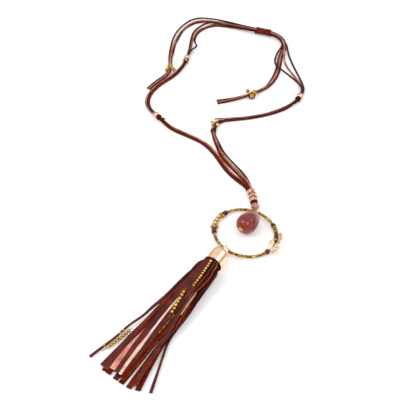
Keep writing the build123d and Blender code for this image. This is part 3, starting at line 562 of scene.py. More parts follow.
# Every lace has two faces and turns over now and then.
# side, kind, course, column, finishes for face, underside and edges, slot, course rows with their half turns
laceRows = [
    ("left", "dark", leftCourse, 2, (darkCalf, russetSuede, darkEdge), "burgundy_leather",
     [(9, 1), (10, 0), (17, 0), (18, 1)]),
    ("left", "rose", leftCourse, 4, (roseLaceFoil, russetSuede, tanEdge), "rose_foil_leather",
     [(9, 0), (10, 1), (15, 1), (16, 2)]),
    ("left", "russet", leftCourse, 6, (roseLaceFoil, darkCalf, darkEdge), "russet_suede",
     [(9, 1), (10, 2), (15, 2), (16, 3)]),
    ("right", "dark", rightCourse, 2, (darkCalf, russetSuede, darkEdge), "burgundy_leather",
     [(8, 0), (9, 1), (12, 1), (13, 2)]),
    ("right", "rose", rightCourse, 4, (roseLaceFoil, russetSuede, tanEdge), "rose_foil_leather", [(0, 0)]),
    ("right", "russet", rightCourse, 6, (russetSuede, darkCalf, darkEdge), "russet_suede",
     [(8, 0), (9, 1), (23, 1), (24.5, 2), (26, 3), (27.5, 4), (29, 5)]),
]
for number, (side, kind, course, column, finishes, slotName, halfTurns) in enumerate(laceRows):
    name = f"{side}_{kind}_lace"
    route = laceRoute(course, column)
    path = splinePath(name, route)
    steps = np.linalg.norm(np.diff(path, axis=0), axis=1)
    path = path[np.concatenate([[True], steps > 0.01])]
    run = np.concatenate([[0], np.cumsum(np.linalg.norm(np.diff(path, axis=0), axis=1))])
    # Each lace leans and turns a little as it goes, as a cut strip does
    nearest = np.linalg.norm(path[:, None] - route[None], axis=2).argmin(axis=0)
    row = np.interp(run, np.maximum.accumulate(run[nearest]), np.arange(len(route)))
    lean = lace["lean"] * np.sin(run / lace["leanRun"] + number * lace["shift"])
    lean = lean + lace["roll"] * np.sin(run / lace["rollRun"] + number)
    lean = lean + 180 * np.interp(row, *np.array(halfTurns, dtype=float).T)
    section = strapSection(np.full(len(path), lace["width"]), lace["thickness"], 12, square=4.0)
    points, faces = sweep(path, section, turn=lean)
    rings = points.reshape(len(path), -1, 3)
    # a lace on its edge stands on the table
    rings[:, :, 2] += np.maximum(0, lace["clear"] - rings[:, :, 2].min(axis=1))[:, None]
    piece = finishPiece(name, rings, faces, finishes, slotName, strapSlots(len(path), 12),
                        nodes=[f"lace_{side}_{kind}"])
print("laces laid")


# Sliding knot: cord wound round all six laces, its end turns fuller
slider = {"middle": (20.82, 220.95, 2.92), "way": (25.6, -8.8, 0.0), "run": 13.0, "radius": 2.02,
          "fuller": 0.2, "turns": 8.5, "half": 0.71, "deep": 0.74}


def windingPath(middle, way, radius, length, turns, perTurn=36, start=0.0):
    # A helix about an axis: its angle and its place along the axis grow together
    axis = unit(np.asarray(way, dtype=float))
    first = unit(np.cross(axis, up))
    second = np.cross(axis, first)
    share = np.linspace(0, 1, int(turns * perTurn) + 1)
    angle = 2 * np.pi * turns * share + start
    radial = np.outer(np.cos(angle), first) + np.outer(np.sin(angle), second)
    reach = np.broadcast_to(radius, share.shape) if np.ndim(radius) == 0 else np.interp(share, *radius)
    return np.asarray(middle) + radial * reach[:, None] + np.outer((share - 0.5) * length, axis), radial


reach = ((0, 0.1, 0.14, 0.86, 0.9, 1), [slider["radius"] + slider["fuller"] * b for b in (1, 1, 0, 0, 1, 1)])
path, radial = windingPath(slider["middle"], slider["way"], reach, slider["run"], slider["turns"])
cord = sweep(path, roundSection(slider["half"], slider["deep"], 12), above=radial)
finishPiece("wound_slider", *cord, [russetCord], "russet_suede", nodes=["slider_knot"])
print("slider wound")


# Knots of lace below the rose beads: two turns, crossed on top by a third
knot = {"radius": 1.78, "pitch": 0.75, "turns": 2.0, "start": 0.6, "width": 0.78, "thickness": 0.5,
        "overWidth": 0.9, "overRun": 0.85, "overBend": 1.5, "overAcross": 1.9, "overHeight": 2.05}
# name, middle, way, bulk
knots = [
    ("lace_knot_1", (-41.68, 183.57, 2.3), (3.4, 15.8, 0.0), 1.0),
    ("lace_knot_2", (-60.69, 115.14, 2.3), (-9.2, 11.7, 0.0), 1.2),
    ("lace_knot_3", (43.45, 136.03, 2.5), (6.6, 13.7, 0.0), 1.25),
    ("lace_knot_4", (-20.4, 100.4, 2.15), (0.2, 7.2, 0.0), 1.15),
]
for name, middle, way, bulk in knots:
    path, radial = windingPath(middle, way, knot["radius"], knot["pitch"] * knot["turns"] * bulk, knot["turns"],
                               start=knot["start"])
    turns = sweep(path, strapSection(np.full(len(path), knot["width"]), knot["thickness"], 12), above=radial)
    share = np.linspace(-1, 1, 24)
    axis, across = unit(np.array(way)), unit(np.cross(np.array(way), up))
    over = np.asarray(middle) + np.outer(share * knot["overRun"] * bulk, axis) \
        + np.outer(np.sin(share * knot["overBend"]) * knot["overAcross"], across) \
        + np.outer(np.cos(share * knot["overBend"]) * knot["overHeight"], up)
    crossing = sweep(over, strapSection(np.full(len(over), knot["overWidth"]), knot["thickness"], 12),
                     above=over - np.asarray(middle))
    finishPiece(name + "_turns", *joinShapes([turns, crossing]), [darkCalf], "burgundy_leather", nodes=[name])
# A short end of lace stands out of the second knot
tail = {"start": (-61.1, 116.9, 1.5), "end": (-56.4, 114.4, 0.9), "width": 1.3, "thickness": 0.7, "turn": 20}
share = np.linspace(0, 1, 12)[:, None]
path = np.array(tail["start"]) * (1 - share) + np.array(tail["end"]) * share
strand = sweep(path, strapSection(np.full(len(path), tail["width"]), tail["thickness"], 12), turn=tail["turn"])
finishPiece("knot_tail", *strand, [darkCalf], "burgundy_leather")
print("knots tied")


# Hoop outline: four arcs, given as a reach from the centre at each angle
hoop = {"long": 21.8, "short": 19.7, "endRadius": 18.0, "turn": 126.0, "height": 1.8}


def hoopPoints(angles):
    angles = np.asarray(angles, dtype=float)
    endCentre = hoop["long"] - hoop["endRadius"]
    sideRadius = (hoop["short"] ** 2 + endCentre ** 2 - hoop["endRadius"] ** 2)
    sideRadius /= 2 * (hoop["short"] - hoop["endRadius"])
    sideCentre = sideRadius - hoop["short"]
    jointWay = math.atan2(sideCentre, endCentre)
    joint = math.degrees(math.atan2(hoop["endRadius"] * math.sin(jointWay),
                                    endCentre + hoop["endRadius"] * math.cos(jointWay)))
    local = (angles - hoop["turn"] + 180) % 360 - 180
    atEnd, atFoot = np.abs(local) <= joint, np.abs(local) >= 180 - joint
    flank = ~(atEnd | atFoot)
    centreX = np.where(atEnd, endCentre, np.where(atFoot, -endCentre, 0.0))
    centreY = np.where(flank, np.where(local > 0, -sideCentre, sideCentre), 0.0)
    radius = np.where(flank, sideRadius, hoop["endRadius"])
    along = centreX * np.cos(np.radians(local)) + centreY * np.sin(np.radians(local))
    reach = along + np.sqrt(along ** 2 - centreX ** 2 - centreY ** 2 + radius ** 2)
    return np.stack([np.cos(np.radians(angles)) * reach, np.sin(np.radians(angles)) * reach,
                     np.full(angles.shape, hoop["height"])], axis=-1)


def hoopFrame(angle):
    # The spot, the way along the hoop and the way inwards at one angle
    a, here, b = hoopPoints([angle - 0.2, angle, angle + 0.2])
    way = unit(b - a)
    return here, way, np.array([-way[1], way[0], 0.0])


# Brass tubes with hammered flats that wind round them
tubes = {"tube_right": (21.6, 59.6), "tube_top": (72.6, 121.4), "tube_left": (181.2, 221.5),
         "tube_bottom": (238.2, 285.5), "tube_lower": (286.5, 305.6)}
# rows and mm to a degree of hoop; three sets of flats, each with its depth
hammer = {"radius": 0.92, "rows": 5, "run": 0.36, "threefold": 0.05, "twofold": 0.06, "ripple": 0.05, "rough": 0.01,
          "endRound": 0.3, "endLeast": 0.12}
random = np.random.default_rng(11)
for name, (first, last) in tubes.items():
    rows, columns = int((last - first) * hammer["rows"]), 16
    path = hoopPoints(np.linspace(first, last, rows))
    angle = np.arange(columns) / columns * 2 * np.pi
    run = np.linspace(0, (last - first) * hammer["run"], rows)[:, None]
    flats = hammer["threefold"] * np.cos(3 * angle + run * 1.1) \
        + hammer["twofold"] * np.cos(2 * angle - run * 2.3 + 1) \
        + hammer["ripple"] * np.sin(run * 2.9 + angle) + random.normal(0, hammer["rough"], (rows, columns))
    ends = np.minimum(1, (np.minimum(run, run[-1] - run) + hammer["endLeast"]) / hammer["endRound"]) ** 0.5
    radius = (hammer["radius"] + flats) * ends
    section = np.stack([radius * np.cos(angle), radius * np.sin(angle)], axis=-1)
    finishPiece(name + "_hammered", *sweep(path, section), [brassPatinaAndShade], "antique_brass", nodes=[name])
print("hoop tubes hammered")

# Spacers: wound gold coils between burgundy discs
spacers = {"gold": (12.2, 6.6, 1.0), "glass": (9.4, 3.8), "coilRadius": 1.28, "coilRun": 0.72, "coilTurns": 3.0,
           "disc": [(0.62, -0.42), (1.2, -0.42), (1.42, -0.2), (1.47, 0.0), (1.42, 0.2), (1.2, 0.42), (0.62, 0.42)]}
coils, discs = [], []
for angle in spacers["gold"]:
    here, way, _ = hoopFrame(angle)
    path, radial = windingPath(here, way, spacers["coilRadius"], spacers["coilRun"], spacers["coilTurns"], 24)
    coils.append(sweep(path, roundSection(0.19, 0.24, 8), above=radial))
for angle in spacers["glass"]:
    here, way, _ = hoopFrame(angle)
    points = turned(spacers["disc"], 28).reshape(-1, 3)
    discs.append(placed((points, gridQuads(len(spacers["disc"]), 28, closeRows=True).tolist()), here, axis=way))
finishPiece("coil_spacers", *joinShapes(coils), [yellowGold], "gold", nodes=["spacer_discs"])
finishPiece("glass_discs", *joinShapes(discs), [burgundyGlass], "burgundy_glass")

# Wire wound over the taper of the long bead
taperWire = {"angle": -20.4, "radius": ((0, 1), (1.2, 1.42)), "run": 0.9, "turns": 2.0, "half": 0.2}
here, way, _ = hoopFrame(taperWire["angle"])
path, radial = windingPath(here, way, taperWire["radius"], taperWire["run"], taperWire["turns"], 24)
wire = sweep(path, roundSection(taperWire["half"], taperWire["half"], 8), above=radial)
finishPiece("taper_wire", *wire, [yellowGold], "gold")
print("spacers threaded")


# Pearls: each a lumpy oval, no two alike, and the gold ball above them
lumpy = {"waves": 5, "quick": 2.1, "high": 0.032, "dimple": 0.1, "lean": 0.6}
# x, y, z, width, stretch, seed
pearls = [
    (22.9, -5.6, 2.5, 2.5, 1.05, 3), (20.3, -13.1, 2.8, 3.3, 1.12, 5), (19.3, -17.1, 2.9, 3.9, 1.02, 8),
    (15.9, -14.6, 4.3, 3.8, 0.96, 13), (16.8, -10.9, 4.15, 3.4, 1.04, 21),
]
shapes = []
for x, y, z, wide, stretch, seed in pearls:
    points, faces = ball(22, 30)
    pick = np.random.default_rng(seed)
    waves = pick.normal(0, 1, (lumpy["waves"], 3)) * lumpy["quick"]
    lumps = np.cos(points @ waves.T + pick.uniform(0, 6, lumpy["waves"])).sum(axis=1, keepdims=True)
    dimple = 1 - lumpy["dimple"] * np.abs(points[:, 2:3]) ** 6
    points = points * (1 + lumpy["high"] * lumps) * dimple * np.array([1.0, 1.0, stretch])
    axis = pick.normal(0, 1, 3) + (0, 0, lumpy["lean"])
    shapes.append(placed((points, faces), (x, y, z), wide / 2, axis=axis))
finishPiece("baroque_pearls", *joinShapes(shapes), [pearlNacre], "pearl", nodes=["pearls"])
goldBall = {"middle": (23.3, -2.2, 2.4), "radius": 1.1}
finishPiece("hoop_gold_ball", *placed(ball(18, 24), goldBall["middle"], goldBall["radius"], axis=(0, 1, 0)),
            [yellowGold], "gold")
# Rings of wire between the pearls: middle, radius, axis
rings = [((21.6, -9.3, 2.7), 0.75, (1, 3, 0)), ((21.0, -11.0, 2.8), 0.7, (1, 3, 0)),
         ((18.7, -8.3, 3.4), 0.6, (1, -2, 0))]
ringWire = 0.22
wires = [placed(ringShape(radius, ringWire), middle, 1.0, axis=axis) for middle, radius, axis in rings]
finishPiece("pearl_wire_rings", *joinShapes(wires), [yellowGold], "gold")
print("pearls set")


# Drop: an egg on its axis, turned from a half circle and a long taper
drop = {"bulb": (0.9, 2.9, 7.18), "point": (8.0, 14.2, 4.0), "radius": 6.9, "lowest": -84, "columns": 96,
        "uneven": 0.004}
bulb, point = np.array(drop["bulb"]), np.array(drop["point"])
reach = np.linalg.norm(point - bulb)
low = np.radians(np.linspace(drop["lowest"], 0, 40))
t = np.linspace(0, 1, 48)[1:, None]
# radius and place along the axis, for the taper's four Bezier points
bend = np.array([(drop["radius"], 0), (drop["radius"], 0.4 * reach), (3.9, 0.82 * reach), (2.0, reach - 0.7)])
taper = (1 - t) ** 3 * bend[0] + 3 * (1 - t) ** 2 * t * bend[1] + 3 * (1 - t) * t ** 2 * bend[2] + t ** 3 * bend[3]
profile = np.concatenate([np.stack([np.cos(low), np.sin(low)], axis=-1) * drop["radius"], taper,
                          [(1.6, reach - 0.3), (1.1, reach - 0.05), (0.62, reach)]])
columns = drop["columns"]
grid = turned(profile, columns)
# a stone ground by hand is never quite round
wave = np.sin(3 * np.arange(columns) / columns * 2 * np.pi)[None, :, None]
ripple = 1 + drop["uneven"] * wave * np.cos(np.linspace(0, 5, len(profile)))[:, None, None]
grid = grid * np.concatenate([ripple, ripple, np.ones_like(ripple)], axis=-1)
faces = gridQuads(len(profile), columns).tolist()
faces += [list(range(columns))[::-1], list(range((len(profile) - 1) * columns, len(profile) * columns))]
finishPiece("polished_drop", *placed((grid.reshape(-1, 3), faces), bulb, axis=point - bulb), [dropStone],
            "red_stone", nodes=["stone_drop"])
print("drop turned")


# Tassel frame: along runs from the cap's rim to the tips, across to the right of it
tassel = {"rim": (-21.6, -31.2, 0.0), "angle": 239.0}
tasselWay = np.array([math.cos(math.radians(tassel["angle"])), math.sin(math.radians(tassel["angle"])), 0.0])
tasselRight = np.array([-tasselWay[1], tasselWay[0], 0.0])


def tasselSpots(along, across, height):
    return np.asarray(tassel["rim"]) + np.multiply.outer(along, tasselWay) + np.multiply.outer(across, tasselRight) \
        + np.multiply.outer(height, up)


# Cap: a thin cup with a rounded crown, a rolled rim and one seam
cap = {"radius": 6.32, "wall": 0.45, "length": 12.6, "shoulder": 4.4, "middle": 6.4, "seam": -0.55,
       "groove": 0.05, "grooveWidth": 0.025, "hole": 1.12, "columns": 180}
# radius and height of the profile, the rolled rim first; the cap runs up from the rim, against the tassel's way
arc = np.radians(np.linspace(0, 90, 16))
flat = cap["radius"] - cap["shoulder"]
outer = [(6.36, 0.0), (6.4, -0.15), (6.4, -0.55), (6.34, -0.75)]
outer += [(cap["radius"], height) for height in (-1.0, -3.5, -6.0)]
outer += list(zip(flat + cap["shoulder"] * np.cos(arc), -cap["length"] + cap["shoulder"] * (1 - np.sin(arc))))
outer += [(1.3, -cap["length"]), (cap["hole"], -cap["length"] + 0.06)]
arc = arc[::-1]
inner = list(zip(flat + (cap["shoulder"] - cap["wall"]) * np.cos(arc),
                 -cap["length"] + cap["wall"] + (cap["shoulder"] - cap["wall"]) * (1 - np.sin(arc))))
inner = [(cap["hole"], -cap["length"] + cap["wall"])] + inner
inner += [(cap["radius"] - cap["wall"], -6.0), (cap["radius"] - cap["wall"], -0.1), (6.2, 0.0)]
profile = np.array(outer + inner)
columns = cap["columns"]
angle = np.arange(columns) / columns * 2 * np.pi
outward = np.concatenate([np.ones(len(outer)), np.zeros(len(inner))])[:, None]
offSeam = (angle - (cap["seam"] % (2 * np.pi)) + np.pi) % (2 * np.pi) - np.pi
groove = -cap["groove"] / cap["radius"] * np.exp(-(offSeam / cap["grooveWidth"]) ** 2)[None] * outward
grid = turned(profile, columns, groove)
# The grid's X is across, its Y is down, its Z runs towards the tips
spots = tasselSpots(grid[..., 2], grid[..., 0], cap["middle"] + grid[..., 1])
finishPiece("cap_shell", spots, gridQuads(len(profile), columns, closeRows=True)[:, ::-1], [peachPlate],
            "rose_gold", nodes=["tassel_cap"])
print("cap turned")

# Tassel strips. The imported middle: along, half width, half height, height of its middle, across
packed = np.array([
    (-9.0, 5.2, 5.2, 6.4, 0.0), (0.0, 5.2, 5.2, 6.4, 0.0), (18.0, 6.0, 4.3, 5.4, -0.4), (38.0, 7.2, 2.7, 3.4, -1.4),
    (58.0, 8.0, 1.3, 1.9, -2.6), (78.0, 9.6, 0.9, 1.5, -3.2), (104.0, 12.5, 0.5, 1.0, -4.0),
])
aroundSkin = 0.9  # how far past the middle's side the strips still follow its skin


def packedSkin(along, across, lower):
    # Height and slope of the middle's skin, an ellipse across the tassel
    wide, high, middle, centre = (np.interp(along, packed[:, 0], packed[:, k]) for k in (1, 2, 3, 4))
    share = np.clip((across - centre) / (wide + aroundSkin), -0.96, 0.96)
    rise = np.sqrt(1 - share ** 2)
    sign = -1.0 if lower else 1.0
    return middle + sign * high * rise, -sign * high * share / rise / (wide + aroundSkin)


# Finish that faces up, whether it runs under the middle; then rows of along, across, width, lift above the skin
strips = {
    "left_outer": ("calf", False, [
        (-2, -4.4, 3.4, -0.2), (3, -4.6, 4.2, 0.1), (10, -6.0, 4.6, 0.3), (18, -7.9, 4.2, 0.4),
        (27, -9.9, 3.4, 0.5), (36, -11.8, 2.6, 0.6), (46, -14.6, 1.9, 0.5), (54, -16.4, 1.6, 0.2),
        (64, -19.8, 1.5, 0.1), (76, -22.3, 1.5, 0.0), (86, -24.9, 1.6, 0.0), (95, -27.2, 1.8, 0.0)
    ]),
    "left_second": ("calf", False, [
        (-2, -2.4, 3.4, 0.0), (4, -2.6, 4.0, 0.2), (12, -3.4, 4.2, 0.5), (21, -5.0, 4.0, 0.8), (31, -7.6, 3.4, 1.0),
        (41, -10.2, 2.9, 0.7), (51, -11.9, 2.7, 0.6), (62, -13.4, 2.7, 0.4), (76, -15.0, 2.8, 0.3),
        (89, -16.5, 3.0, 0.2), (96.5, -17.4, 3.2, 0.0)
    ]),
    "left_tan_edged": ("calfTan", False, [
        (8, -4.4, 2.2, -0.1), (28, -7.4, 2.4, 0.0), (44, -10.6, 2.8, 0.2), (58, -11.8, 3.0, 0.3),
        (74, -13.2, 3.2, 0.5), (88, -14.0, 3.4, 0.5), (97, -14.6, 3.4, 0.3)
    ]),
    "left_russet": ("suedeTan", False, [
        (4, -3.6, 2.8, -0.3), (26, -6.2, 3.0, 0.1), (38, -8.0, 3.2, 0.4), (50, -10.1, 3.0, 0.4),
        (62, -10.9, 2.6, 0.3), (78, -12.2, 2.4, 0.0), (94, -13.0, 2.6, -0.2)
    ]),
    "blush_foil": ("blush", False, [
        (34, -6.0, 1.0, 0.2), (48, -7.6, 1.4, 0.5), (58, -8.6, 1.9, 0.7), (68, -9.3, 3.0, 0.9),
        (78, -9.9, 4.1, 0.9), (88, -10.1, 4.6, 0.8), (96, -9.9, 5.0, 0.6)
    ]),
    "centre_burgundy": ("calf", False, [
        (-2, -0.6, 3.8, 0.0), (6, -0.9, 4.0, 0.3), (16, -1.5, 3.8, 0.5), (26, -2.8, 3.8, 0.9), (36, -5.0, 4.2, 1.1),
        (47, -6.6, 4.2, 1.3), (59, -7.6, 4.0, 1.5), (72, -7.5, 3.9, 1.5), (84, -7.2, 3.9, 1.3),
        (96.5, -6.6, 4.2, 0.9)
    ]),
    "bright_foil": ("bright", False, [
        (26, -2.0, 0.9, 0.9), (38, -3.7, 1.1, 1.0), (50, -4.6, 1.4, 1.0), (62, -5.2, 1.9, 1.1),
        (74, -5.2, 2.6, 1.2), (86, -5.0, 2.4, 1.1), (97, -4.3, 2.0, 0.9)
    ]),
    "right_of_foil": ("calf", False, [
        (24, -0.2, 2.2, 0.1), (38, -1.6, 3.2, 0.3), (50, -2.2, 3.6, 0.5), (62, -2.4, 3.8, 0.7),
        (76, -2.6, 3.2, 0.7), (88, -3.0, 2.4, 0.4), (95, -3.4, 2.0, 0.2)
    ]),
    "russet_middle": ("suedeTan", False, [
        (40, 0.8, 2.0, 0.2), (52, 0.7, 2.6, 0.7), (64, 0.5, 3.0, 1.0), (76, 0.1, 3.0, 1.1), (88, -0.8, 2.8, 1.0),
        (98.5, -1.8, 2.8, 0.6)
    ]),
    "russet_right": ("suedeTan", False, [
        (28, 3.4, 2.2, -0.2), (44, 4.0, 2.8, 0.0), (58, 4.4, 3.0, 0.1), (72, 4.2, 3.2, 0.3), (86, 4.6, 3.6, 0.5),
        (99.5, 4.8, 3.9, 0.3)
    ]),
    "right_inner": ("calfTan", False, [
        (-2, 3.6, 3.0, 0.0), (6, 4.0, 3.4, 0.3), (16, 4.4, 3.2, 0.6), (24, 3.3, 3.0, 1.0), (31, 1.9, 2.8, 1.3),
        (41, 2.4, 2.6, 1.3), (52, 3.0, 2.6, 1.4), (64, 4.2, 2.4, 1.4), (77, 5.4, 2.4, 1.3), (90, 6.2, 2.4, 1.1),
        (98.5, 7.0, 2.6, 0.9)
    ]),
    "right_outer": ("suede", False, [
        (-2, 5.0, 3.2, -0.3), (5, 5.6, 4.0, 0.0), (14, 6.0, 4.2, 0.2), (24, 5.9, 3.6, 0.4), (34, 5.9, 3.0, 0.6),
        (46, 5.8, 2.6, 0.7), (58, 5.7, 2.4, 0.8), (70, 5.9, 2.6, 0.5), (84, 7.4, 3.0, 0.3), (100, 9.9, 3.6, 0.2)
    ]),
    "right_flap": ("calf", False, [
        (20, 6.4, 2.6, 0.2), (30, 6.9, 2.6, 0.5), (40, 7.2, 2.4, 0.8), (50, 6.9, 2.2, 1.2), (60, 5.6, 2.0, 1.6),
        (70, 4.9, 2.0, 1.5)
    ]),
    "right_thin": ("calf", False, [
        (44, 7.2, 1.4, 0.2), (56, 6.6, 1.5, 0.4), (64, 7.2, 1.5, 0.3), (74, 10.0, 1.5, 0.0), (86, 13.7, 1.7, 0.0),
        (97.5, 17.1, 2.0, 0.0)
    ]),
    "beside_upper": ("calf", False, [
        (-2, 1.9, 2.2, 0.0), (5, 2.8, 2.4, 0.5), (14, 3.2, 2.4, 1.1), (22, 2.7, 2.2, 1.5), (29, 0.9, 2.0, 1.5),
        (40, -0.1, 1.8, 1.0), (50, 0.0, 1.6, 0.3)
    ]),
    "left_of_upper": ("calf", False, [
        (-2, 0.0, 2.0, 0.1), (6, -0.7, 2.4, 0.4), (14, -0.9, 2.6, 0.6), (22, -1.1, 2.4, 0.8), (30, -1.9, 2.2, 0.9),
        (38, -3.4, 1.8, 0.5)
    ]),
    "foil_glimpse": ("bright", False, [
        (26, 4.2, 1.2, 0.6), (34, 3.9, 1.5, 0.9), (44, 3.9, 1.4, 0.7)
    ]),
    "under_left": ("suede", True, [
        (-2, -4.6, 3.0, 0.0), (16, -6.2, 3.0, 0.0), (38, -9.2, 3.0, 0.0), (58, -13.6, 3.0, 0.0),
        (80, -15.8, 3.0, 0.0), (98.5, -14.6, 3.2, 0.0)
    ]),
    "under_left_second": ("suede", True, [
        (-2, -2.8, 3.2, 0.0), (20, -4.0, 3.2, 0.0), (45, -8.2, 3.2, 0.0), (70, -10.8, 3.2, 0.0),
        (99, -11.6, 3.4, 0.0)
    ]),
    "under_middle": ("calf", True, [
        (-2, -0.6, 3.4, 0.0), (20, -1.2, 3.4, 0.0), (45, -3.6, 3.4, 0.0), (70, -5.4, 3.4, 0.0),
        (100, -5.8, 3.4, 0.0)
    ]),
    "under_right_second": ("suede", True, [
        (-2, 1.6, 3.4, 0.0), (20, 1.4, 3.4, 0.0), (45, 0.6, 3.4, 0.0), (70, -0.6, 3.4, 0.0), (100.5, -1.4, 3.6, 0.0)
    ]),
    "under_right": ("calf", True, [
        (-2, 4.0, 3.2, 0.0), (20, 4.6, 3.2, 0.0), (45, 4.2, 3.2, 0.0), (70, 3.6, 3.4, 0.0), (101, 4.2, 3.6, 0.0)
    ]),
}
stripFinishes = {
    "calf": ((burgundyCalf, russetSuede, burnishAndShadeEdge), "burgundy_leather"),
    "calfTan": ((burgundyCalf, russetSuede, tanEdge), "burgundy_leather"),
    "suede": ((russetSuede, burgundyCalf, burnishAndShadeEdge), "russet_suede"),
    "suedeTan": ((russetSuede, burgundyCalf, tanEdge), "russet_suede"),
    "blush": ((blushFoil, russetSuede, tanEdge), "rose_foil_leather"),
    "bright": ((brightFoil, russetSuede, tanEdge), "rose_foil_leather"),
}
# follow: share of the skin's slope that a strip takes; roll and rock: degrees of slow and quick tilt
strap = {"thickness": 0.8, "rings": 120, "cup": 0.16, "wave": 0.14, "follow": 0.8, "roll": 6, "rock": 5, "clear": 0.1,
         "bore": 5.78, "spread": 0.4, "gripEnd": 0.4}
for number, (name, (finish, lower, rows)) in enumerate(strips.items()):
    table = smoothRows(rows, strap["rings"])
    along, across, wide, lift = table.T
    height, slope = packedSkin(along, across, lower)
    tilt = np.degrees(np.arctan(slope)) * strap["follow"]
    # cut leather never lies quite flat: slow waves along it, and a little roll
    height = height + lift + strap["wave"] * np.sin(along / 7.0 + number * 2.1)
    tilt = tilt + strap["roll"] * np.sin(along / 11.0 + number * 1.3)
    tilt = tilt + (0 if lower else strap["rock"]) * np.sin(along / 5.0 + number)
    least = strap["thickness"] / 2 + wide / 2 * np.abs(np.sin(np.radians(tilt))) + strap["clear"]
    height = np.maximum(height, least)
    # a strip's side runs across the tassel, so the tilt follows the skin's slope
    cup = strap["cup"] * np.sin(number * 1.7 + along / 30)
    section = strapSection(wide, strap["thickness"], 16, cup)
    points, faces = sweep(np.stack([along, across, height], axis=-1), section, turn=-tilt)
    # inside the cap and just below it the strips are squeezed to the cap's bore
    out = points[:, 1:] - (0.0, cap["middle"])
    most = strap["bore"] + strap["spread"] * np.maximum(0, points[:, 0] - strap["gripEnd"])
    points[:, 1:] = (0.0, cap["middle"]) + out * np.minimum(1, most / np.linalg.norm(out, axis=1))[:, None]
    materials, slotName = stripFinishes[finish]
    nodes = ["tassel_skirt"] if number == 0 else ()
    finishPiece("strip_" + name, tasselSpots(*points.T), faces, materials, slotName, strapSlots(len(along)),
                nodes=nodes)

# The imported middle itself, seen only in the gaps, in near-black suede as painted shade between the strips
rows = smoothRows(packed[:5] * np.array([1, 0.9, 0.9, 1, 1]), 60)
rows = rows[(rows[:, 0] > -8.5) & (rows[:, 0] < 57)]
section = roundSection(rows[:, 1], rows[:, 2], 28)
section = section * (1 + 0.05 * np.sin(np.arange(28) * 2.9))[None, :, None]
path = tasselSpots(rows[:, 0], rows[:, 4], np.maximum(rows[:, 3], rows[:, 2] * 1.06 + 0.1))
finishPiece("packed_middle", *sweep(path, section), [shadowSuede], "russet_suede")
print("tassel cut")

# Fine chain half hidden between the strips: along, across, lift
chain = {"rows": [(47, 0.5, 1.35), (54, 0.2, 1.5), (61, -0.5, 1.5), (68, -1.2, 1.5)], "links": 27, "radius": 0.36,
         "wire": 0.13, "stretch": 1.5}
chainRow = smoothRows(chain["rows"], chain["links"])
height = packedSkin(chainRow[:, 0], chainRow[:, 1], False)[0] + chainRow[:, 2]
spots = tasselSpots(chainRow[:, 0], chainRow[:, 1], height)
ways = unit(np.gradient(spots, axis=0))
links = []
for number, (spot, way) in enumerate(zip(spots, ways)):
    across = np.cross(way, up) if number % 2 else up
    points, faces = ringShape(chain["radius"], chain["wire"], 14, 6)
    links.append(placed((points * (chain["stretch"], 1.0, 1.0), faces), spot, axis=across, lean=way))
finishPiece("tassel_chain", *joinShapes(links), [brassPatinaAndShade], "antique_brass")

# Small seed beads gathered round the beaded strand
# along, across, radius, height of the middle
seeds = [(69.0, -21.2, 0.95, 1.8), (72.0, -21.5, 0.9, 1.75), (76.0, -20.9, 0.85, 1.65), (84.2, -24.6, 0.9, 1.7)]
shapes = [placed(ball(12, 16), tasselSpots(along, across, height), radius, axis=(0.4, 0.2, 1))
          for along, across, radius, height in seeds]
finishPiece("strand_seed_beads", *joinShapes(shapes), [yellowGold], "gold")
print("chain and seed beads added")


# Stack dressing: dark lace pressed between the rings, and two seed beads at their side
stack = {"angle": 100.0, "bead": (7.35, 23.2, 2.7), "rings": (13.4, 9.6, 5.9), "ringEnd": 2.15, "bulge": 0.53,
         "halfLength": 1.68, "bore": [(2.0, 1.5), (2.0, -1.5)]}
stackWay = np.array([math.cos(math.radians(stack["angle"])), math.sin(math.radians(stack["angle"])), 0.0])
stackRight = np.array([stackWay[1], -stackWay[0], 0.0])
bead = np.array(stack["bead"])
# along the stack from the pink bead, radius, half the lace
wraps = [(11.5, 2.3, 0.42), (7.75, 2.3, 0.4), (3.95, 2.1, 0.5), (3.1, 2.05, 0.5)]
shapes = [placed(ringShape(radius, half, 36, 10), bead + stackWay * along, axis=stackWay)
          for along, radius, half in wraps]
finishPiece("stack_lace_wraps", *joinShapes(shapes), [darkCalf], "burgundy_leather", nodes=["stack_knot"])
# The rings bulge: their wall is a squashed half circle
wall = [(stack["ringEnd"] + stack["bulge"] * (1 - z * z) ** 0.5, stack["halfLength"] * z)
        for z in np.linspace(-1, 1, 19)]
barrel = turned(wall + stack["bore"], 56).reshape(-1, 3), gridQuads(21, 56, closeRows=True).tolist()
for number, along in enumerate(stack["rings"], start=1):
    ring = placed(barrel, bead + stackWay * along, axis=stackWay)
    finishPiece(f"stack_ring_{number}_barrel", *ring, [rosePlate], "rose_gold", nodes=[f"stack_ring_{number}"])
# along, across, height, radius
seeds = [(11.6, 2.7, 3.6, 0.62), (8.0, 2.75, 3.5, 0.55), (14.9, 2.3, 4.0, 0.5)]
shapes = [placed(ball(12, 16), bead * (1, 1, 0) + stackWay * along + stackRight * across + up * height, radius)
          for along, across, height, radius in seeds]
finishPiece("stack_seed_beads", *joinShapes(shapes), [yellowGold], "gold")

# Dark lace looped round the front gold bead of the right tail
tailLoop = {"middle": (8.64, 139.28, 2.9), "from": 150, "to": 395, "wide": 2.4, "long": 1.75, "high": 1.55,
            "half": 0.42}
angle = np.radians(np.linspace(tailLoop["from"], tailLoop["to"], 44))[:, None]
path = np.array(tailLoop["middle"]) + np.cos(angle) * (tailLoop["wide"], 0, 0) \
    + np.sin(angle) * (0, tailLoop["long"], tailLoop["high"])
strand = sweep(path, roundSection(tailLoop["half"], tailLoop["half"], 10), above=(0, -0.7, 0.7))
finishPiece("tail_bead_loop", *strand, [darkCalf], "burgundy_leather")
print("stack and tail dressed")


